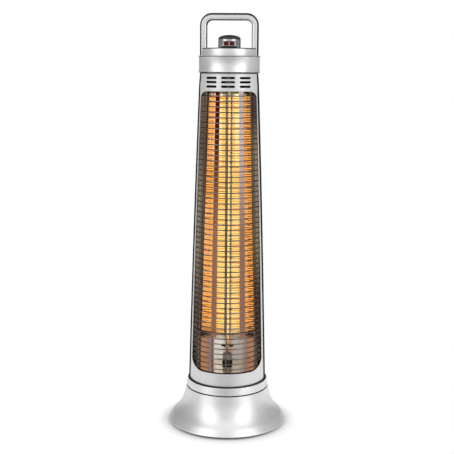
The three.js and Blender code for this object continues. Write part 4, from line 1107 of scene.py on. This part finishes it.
def switches():
    """The recess's plate, two rockers in its openings, which lean back at rest, and the sill below."""
    key_x, width, height, depth = 4.2 * MM, 6.4 * MM, 4.8 * MM, 2.6 * MM
    opening_level = sum(levels("rocker_left")) / 2
    key_level = POD_FOOT + FIT + SILL_HEIGHT + (NICHE_TOP - SILL_HEIGHT) / 2
    side, above = width / 2 + FIT, height / 2 + 1.5 * FIT
    back_of_plate = 1.2 * MM - SWITCH_FACE
    plate = extruded("plate", niche_outline(FIT, 2 * FIT + SILL_HEIGHT), -SWITCH_FACE, back_of_plate)
    low, high = opening_level - above, opening_level + above
    rooms = [box("key_room", (x - side, -BEYOND, low), (x + side, 0, high)) for x in (-key_x, key_x)]
    given(rounded(cut(plate, rooms), 0.2 * MM, 2), "silver_paint", "switch_plate")
    half, rake, dip = height / 2, 0.6 * MM, 0.45 * MM
    front, back = -depth / 2 - FIT, depth / 2
    profile = [(front, -half), (back, rake - half), (back, half - rake), (front, half), (front + dip, 0)]
    key = drawn_line("key", [(-width / 2, y, z) for y, z in closed(profile)])
    bpy.ops.mesh.edge_face_add()
    extrude((width, 0, 0))
    outward()
    rounded(key, 0.35 * MM, 3)
    tilt, pivot = (radians(-8), 0, 0), SWITCH_FACE - 0.6 * MM
    for side, x in (("left", -key_x), ("right", key_x)):
        made = copied(key, "key_" + side, tilt, (x, -pivot, key_level))
        given(smoothed(made), "red_plastic", "rocker_" + side, body="rocker_" + side)
    bpy.data.objects.remove(key)
    niche_front = -sqrt(POD_RADIUS**2 - NICHE_FOOT_HALF**2)
    low, high = foot_of("switch_sill"), top_of("switch_sill") + 0.6 * MM
    bottom = NICHE_FOOT_HALF - 2 * FIT
    outline = trapezoid(bottom, low, bottom - NICHE_SLOPE * (high - low), high)
    sill = extruded("sill", outline, niche_front - 2 * MM, 3 * MM - SWITCH_FACE)
    given(rounded(sill, 0.3 * MM, 2), "gloss_black", "switch_sill")


base_bell()
feet()
gland()
collar()
gaskets()
bar_piece()
screws()
front_panel()
rear_cover()
grille()
support_hoop()
reflector()
lamp()
lamp_clamps()
head_band()
head_lid()
pod()
switches()

# ----- Carried-over pieces -----
CARRIED_OVER = {
    "cast_iron": ["ballast_ring"],
    "red_plastic": ["tip_plunger"],
    "black_rubber": ["supply_lead"],
    "lead_sheath": ["lamp_lead"],
    "gloss_black": ["lamp_clip"],
    "bright_sheet": ["reflector_floor", "reflector_ceiling"],
    "zinc_sheet": ["tower_disc", "thermal_cutout", "head_deck"],
    "steel": ["tip_spring", "gland_nut", "tower_bolt_1", "tower_bolt_2"],
    "black_plastic": [
        "base_plate", "tip_switch_body", "terminal_block", "switch_body_left", "switch_body_right"],
}
for finish, names in CARRIED_OVER.items():
    for name in names:
        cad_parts[name].material_slots[0].material = FINISH[finish]


# ----- Camera -----
def set_up(name, data, place):
    made = bpy.data.objects.new(name, data)
    bpy.context.scene.collection.objects.link(made)
    made.location = place
    return made


def camera():
    """The photo's camera, fitted to the ellipses of the base and the collar."""
    azimuth, dip, roll = radians(2.3), radians(9.61), radians(0.4)
    distance, height = 1357 * MM, 532 * MM
    aside, picture_width = 1.2, 454  # px
    data = bpy.data.cameras.new("camera")
    data.lens, data.sensor_width = 72.3, 36
    data.shift_x = -aside / picture_width
    made = set_up("camera", data, around(distance, azimuth, height))
    turn = Matrix.Rotation(azimuth, 3, "Z") @ Matrix.Rotation(pi / 2 - dip, 3, "X")
    made.rotation_euler = (turn @ Matrix.Rotation(roll, 3, "Z")).to_euler()
    bpy.context.scene.camera = made


# ----- Studio -----
def softbox(name, azimuth, width, tall, radiance, distance=1.9, height=1.1, glossy=True):
    """A soft panel lamp that faces the heater. A fill lamp stays out of reflections."""
    light = bpy.data.lights.new(name, "AREA")
    light.shape = "RECTANGLE"
    light.size, light.size_y = width, tall
    light.energy = radiance * pi * width * tall
    made = set_up(name, light, around(distance, radians(azimuth), height))
    aim = Vector((0, 0, 0.3))
    made.rotation_euler = (aim - made.location).to_track_quat("-Z", "Y").to_euler()
    made.visible_camera = False
    made.visible_glossy = glossy


def emission(tree, shade):
    return result(tree, "Emission", {"Color": (shade, shade, shade, 1), "Strength": 1.0})


def surfaced(piece, material, surface):
    """Puts a material on a studio piece, with what its surface shows."""
    tree = material.node_tree
    feed(tree, tree.nodes["Material Output"], {"Surface": surface})
    piece.data.materials.append(material)


def card(name, centre, width, tall, shade=0.02, turn=0, flat=False):
    """A card that only reflections see, as photographers use for shiny metal."""
    tip = 0 if flat else pi / 2
    made = plane(name, width, tall, centre, (tip, 0, radians(turn)))
    material = add_material(name)
    surfaced(made, material, emission(material.node_tree, shade))
    made.visible_camera = made.visible_diffuse = made.visible_shadow = made.visible_transmission = False


def studio():
    """White surroundings, dimmer as light than as seen, with lamps and cards."""
    world = bpy.data.worlds.new("studio")
    world.use_nodes = True
    bpy.context.scene.world = world
    tree = world.node_tree
    ambient = 0.55
    path = node(tree, "LightPath").outputs
    seen = maths(tree, "ADD", path["Is Camera Ray"], path["Is Glossy Ray"])
    seen = maths(tree, "ADD", seen, path["Is Transmission Ray"], True)
    background = tree.nodes["Background"]
    background.inputs["Color"].default_value = (1, 1, 1, 1)
    feed(tree, background, {"Strength": share_of(tree, seen, 0.0, 1.0, ambient, 1.0)})
    softbox("key_right", 46, 1.1, 2.2, 1.0)
    softbox("key_left", -44, 1.0, 2.2, 1.0)
    softbox("fill_right", 90, 1.4, 1.6, 2.8, distance=1.8, height=0.5, glossy=False)
    softbox("fill_left", -90, 1.4, 1.6, 2.0, distance=1.8, height=0.5, glossy=False)
    card("head_card", (0, -2.4, 0.75), 1.2, 0.46, shade=0.9)
    card("centre_card", (0, -2.4, 1.99), 1.2, 2.02, shade=0.3)
    card("streak_card", (0, -0.5, 0.004), 0.26, 0.6, shade=0.1, flat=True)
    card("room_card", (0, -2.6, 0.26), 6.0, 0.52)
    card("floor_card", (0, -1.7, 0.002), 6.0, 1.8, flat=True)
    for name, side in (("right", 1), ("left", -1)):
        card(name + "_card", (side * 1.5, 0.9, 1.0), 2.8, 2.4, turn=90)
        card(name + "_rear_card", (side * 0.95, 2.2, 1.0), 1.3, 2.4)
    card("ceiling_card", (0, 0.5, 0.95), 0.4, 1.3, flat=True)
    floor()


def floor():
    """Pale floor that fades into the white around the heater's shadow."""
    side, fade_start, fade_end = 30, 0.086, 0.11
    made = plane("floor", side, side)
    material = add_material("floor")
    tree = material.node_tree
    shader = tree.nodes["Principled BSDF"]
    shader.inputs["Base Color"].default_value = (0.93, 0.93, 0.93, 1)
    shader.inputs["Roughness"].default_value = 0.7
    away = node(tree, "VectorMath", {0: object_place(tree)}, operation="LENGTH").outputs["Value"]
    fade = result(tree, "MapRange", {0: away, 1: fade_start, 2: fade_end}, interpolation_type="SMOOTHSTEP")
    share = maths(tree, "MULTIPLY", fade, node(tree, "LightPath").outputs["Is Camera Ray"])
    mixed = result(tree, "MixShader", {0: share, 1: shader.outputs[0], 2: emission(tree, 1)})
    surfaced(made, material, mixed)


camera()
studio()
bpy.context.scene.view_settings.view_transform = "Standard"
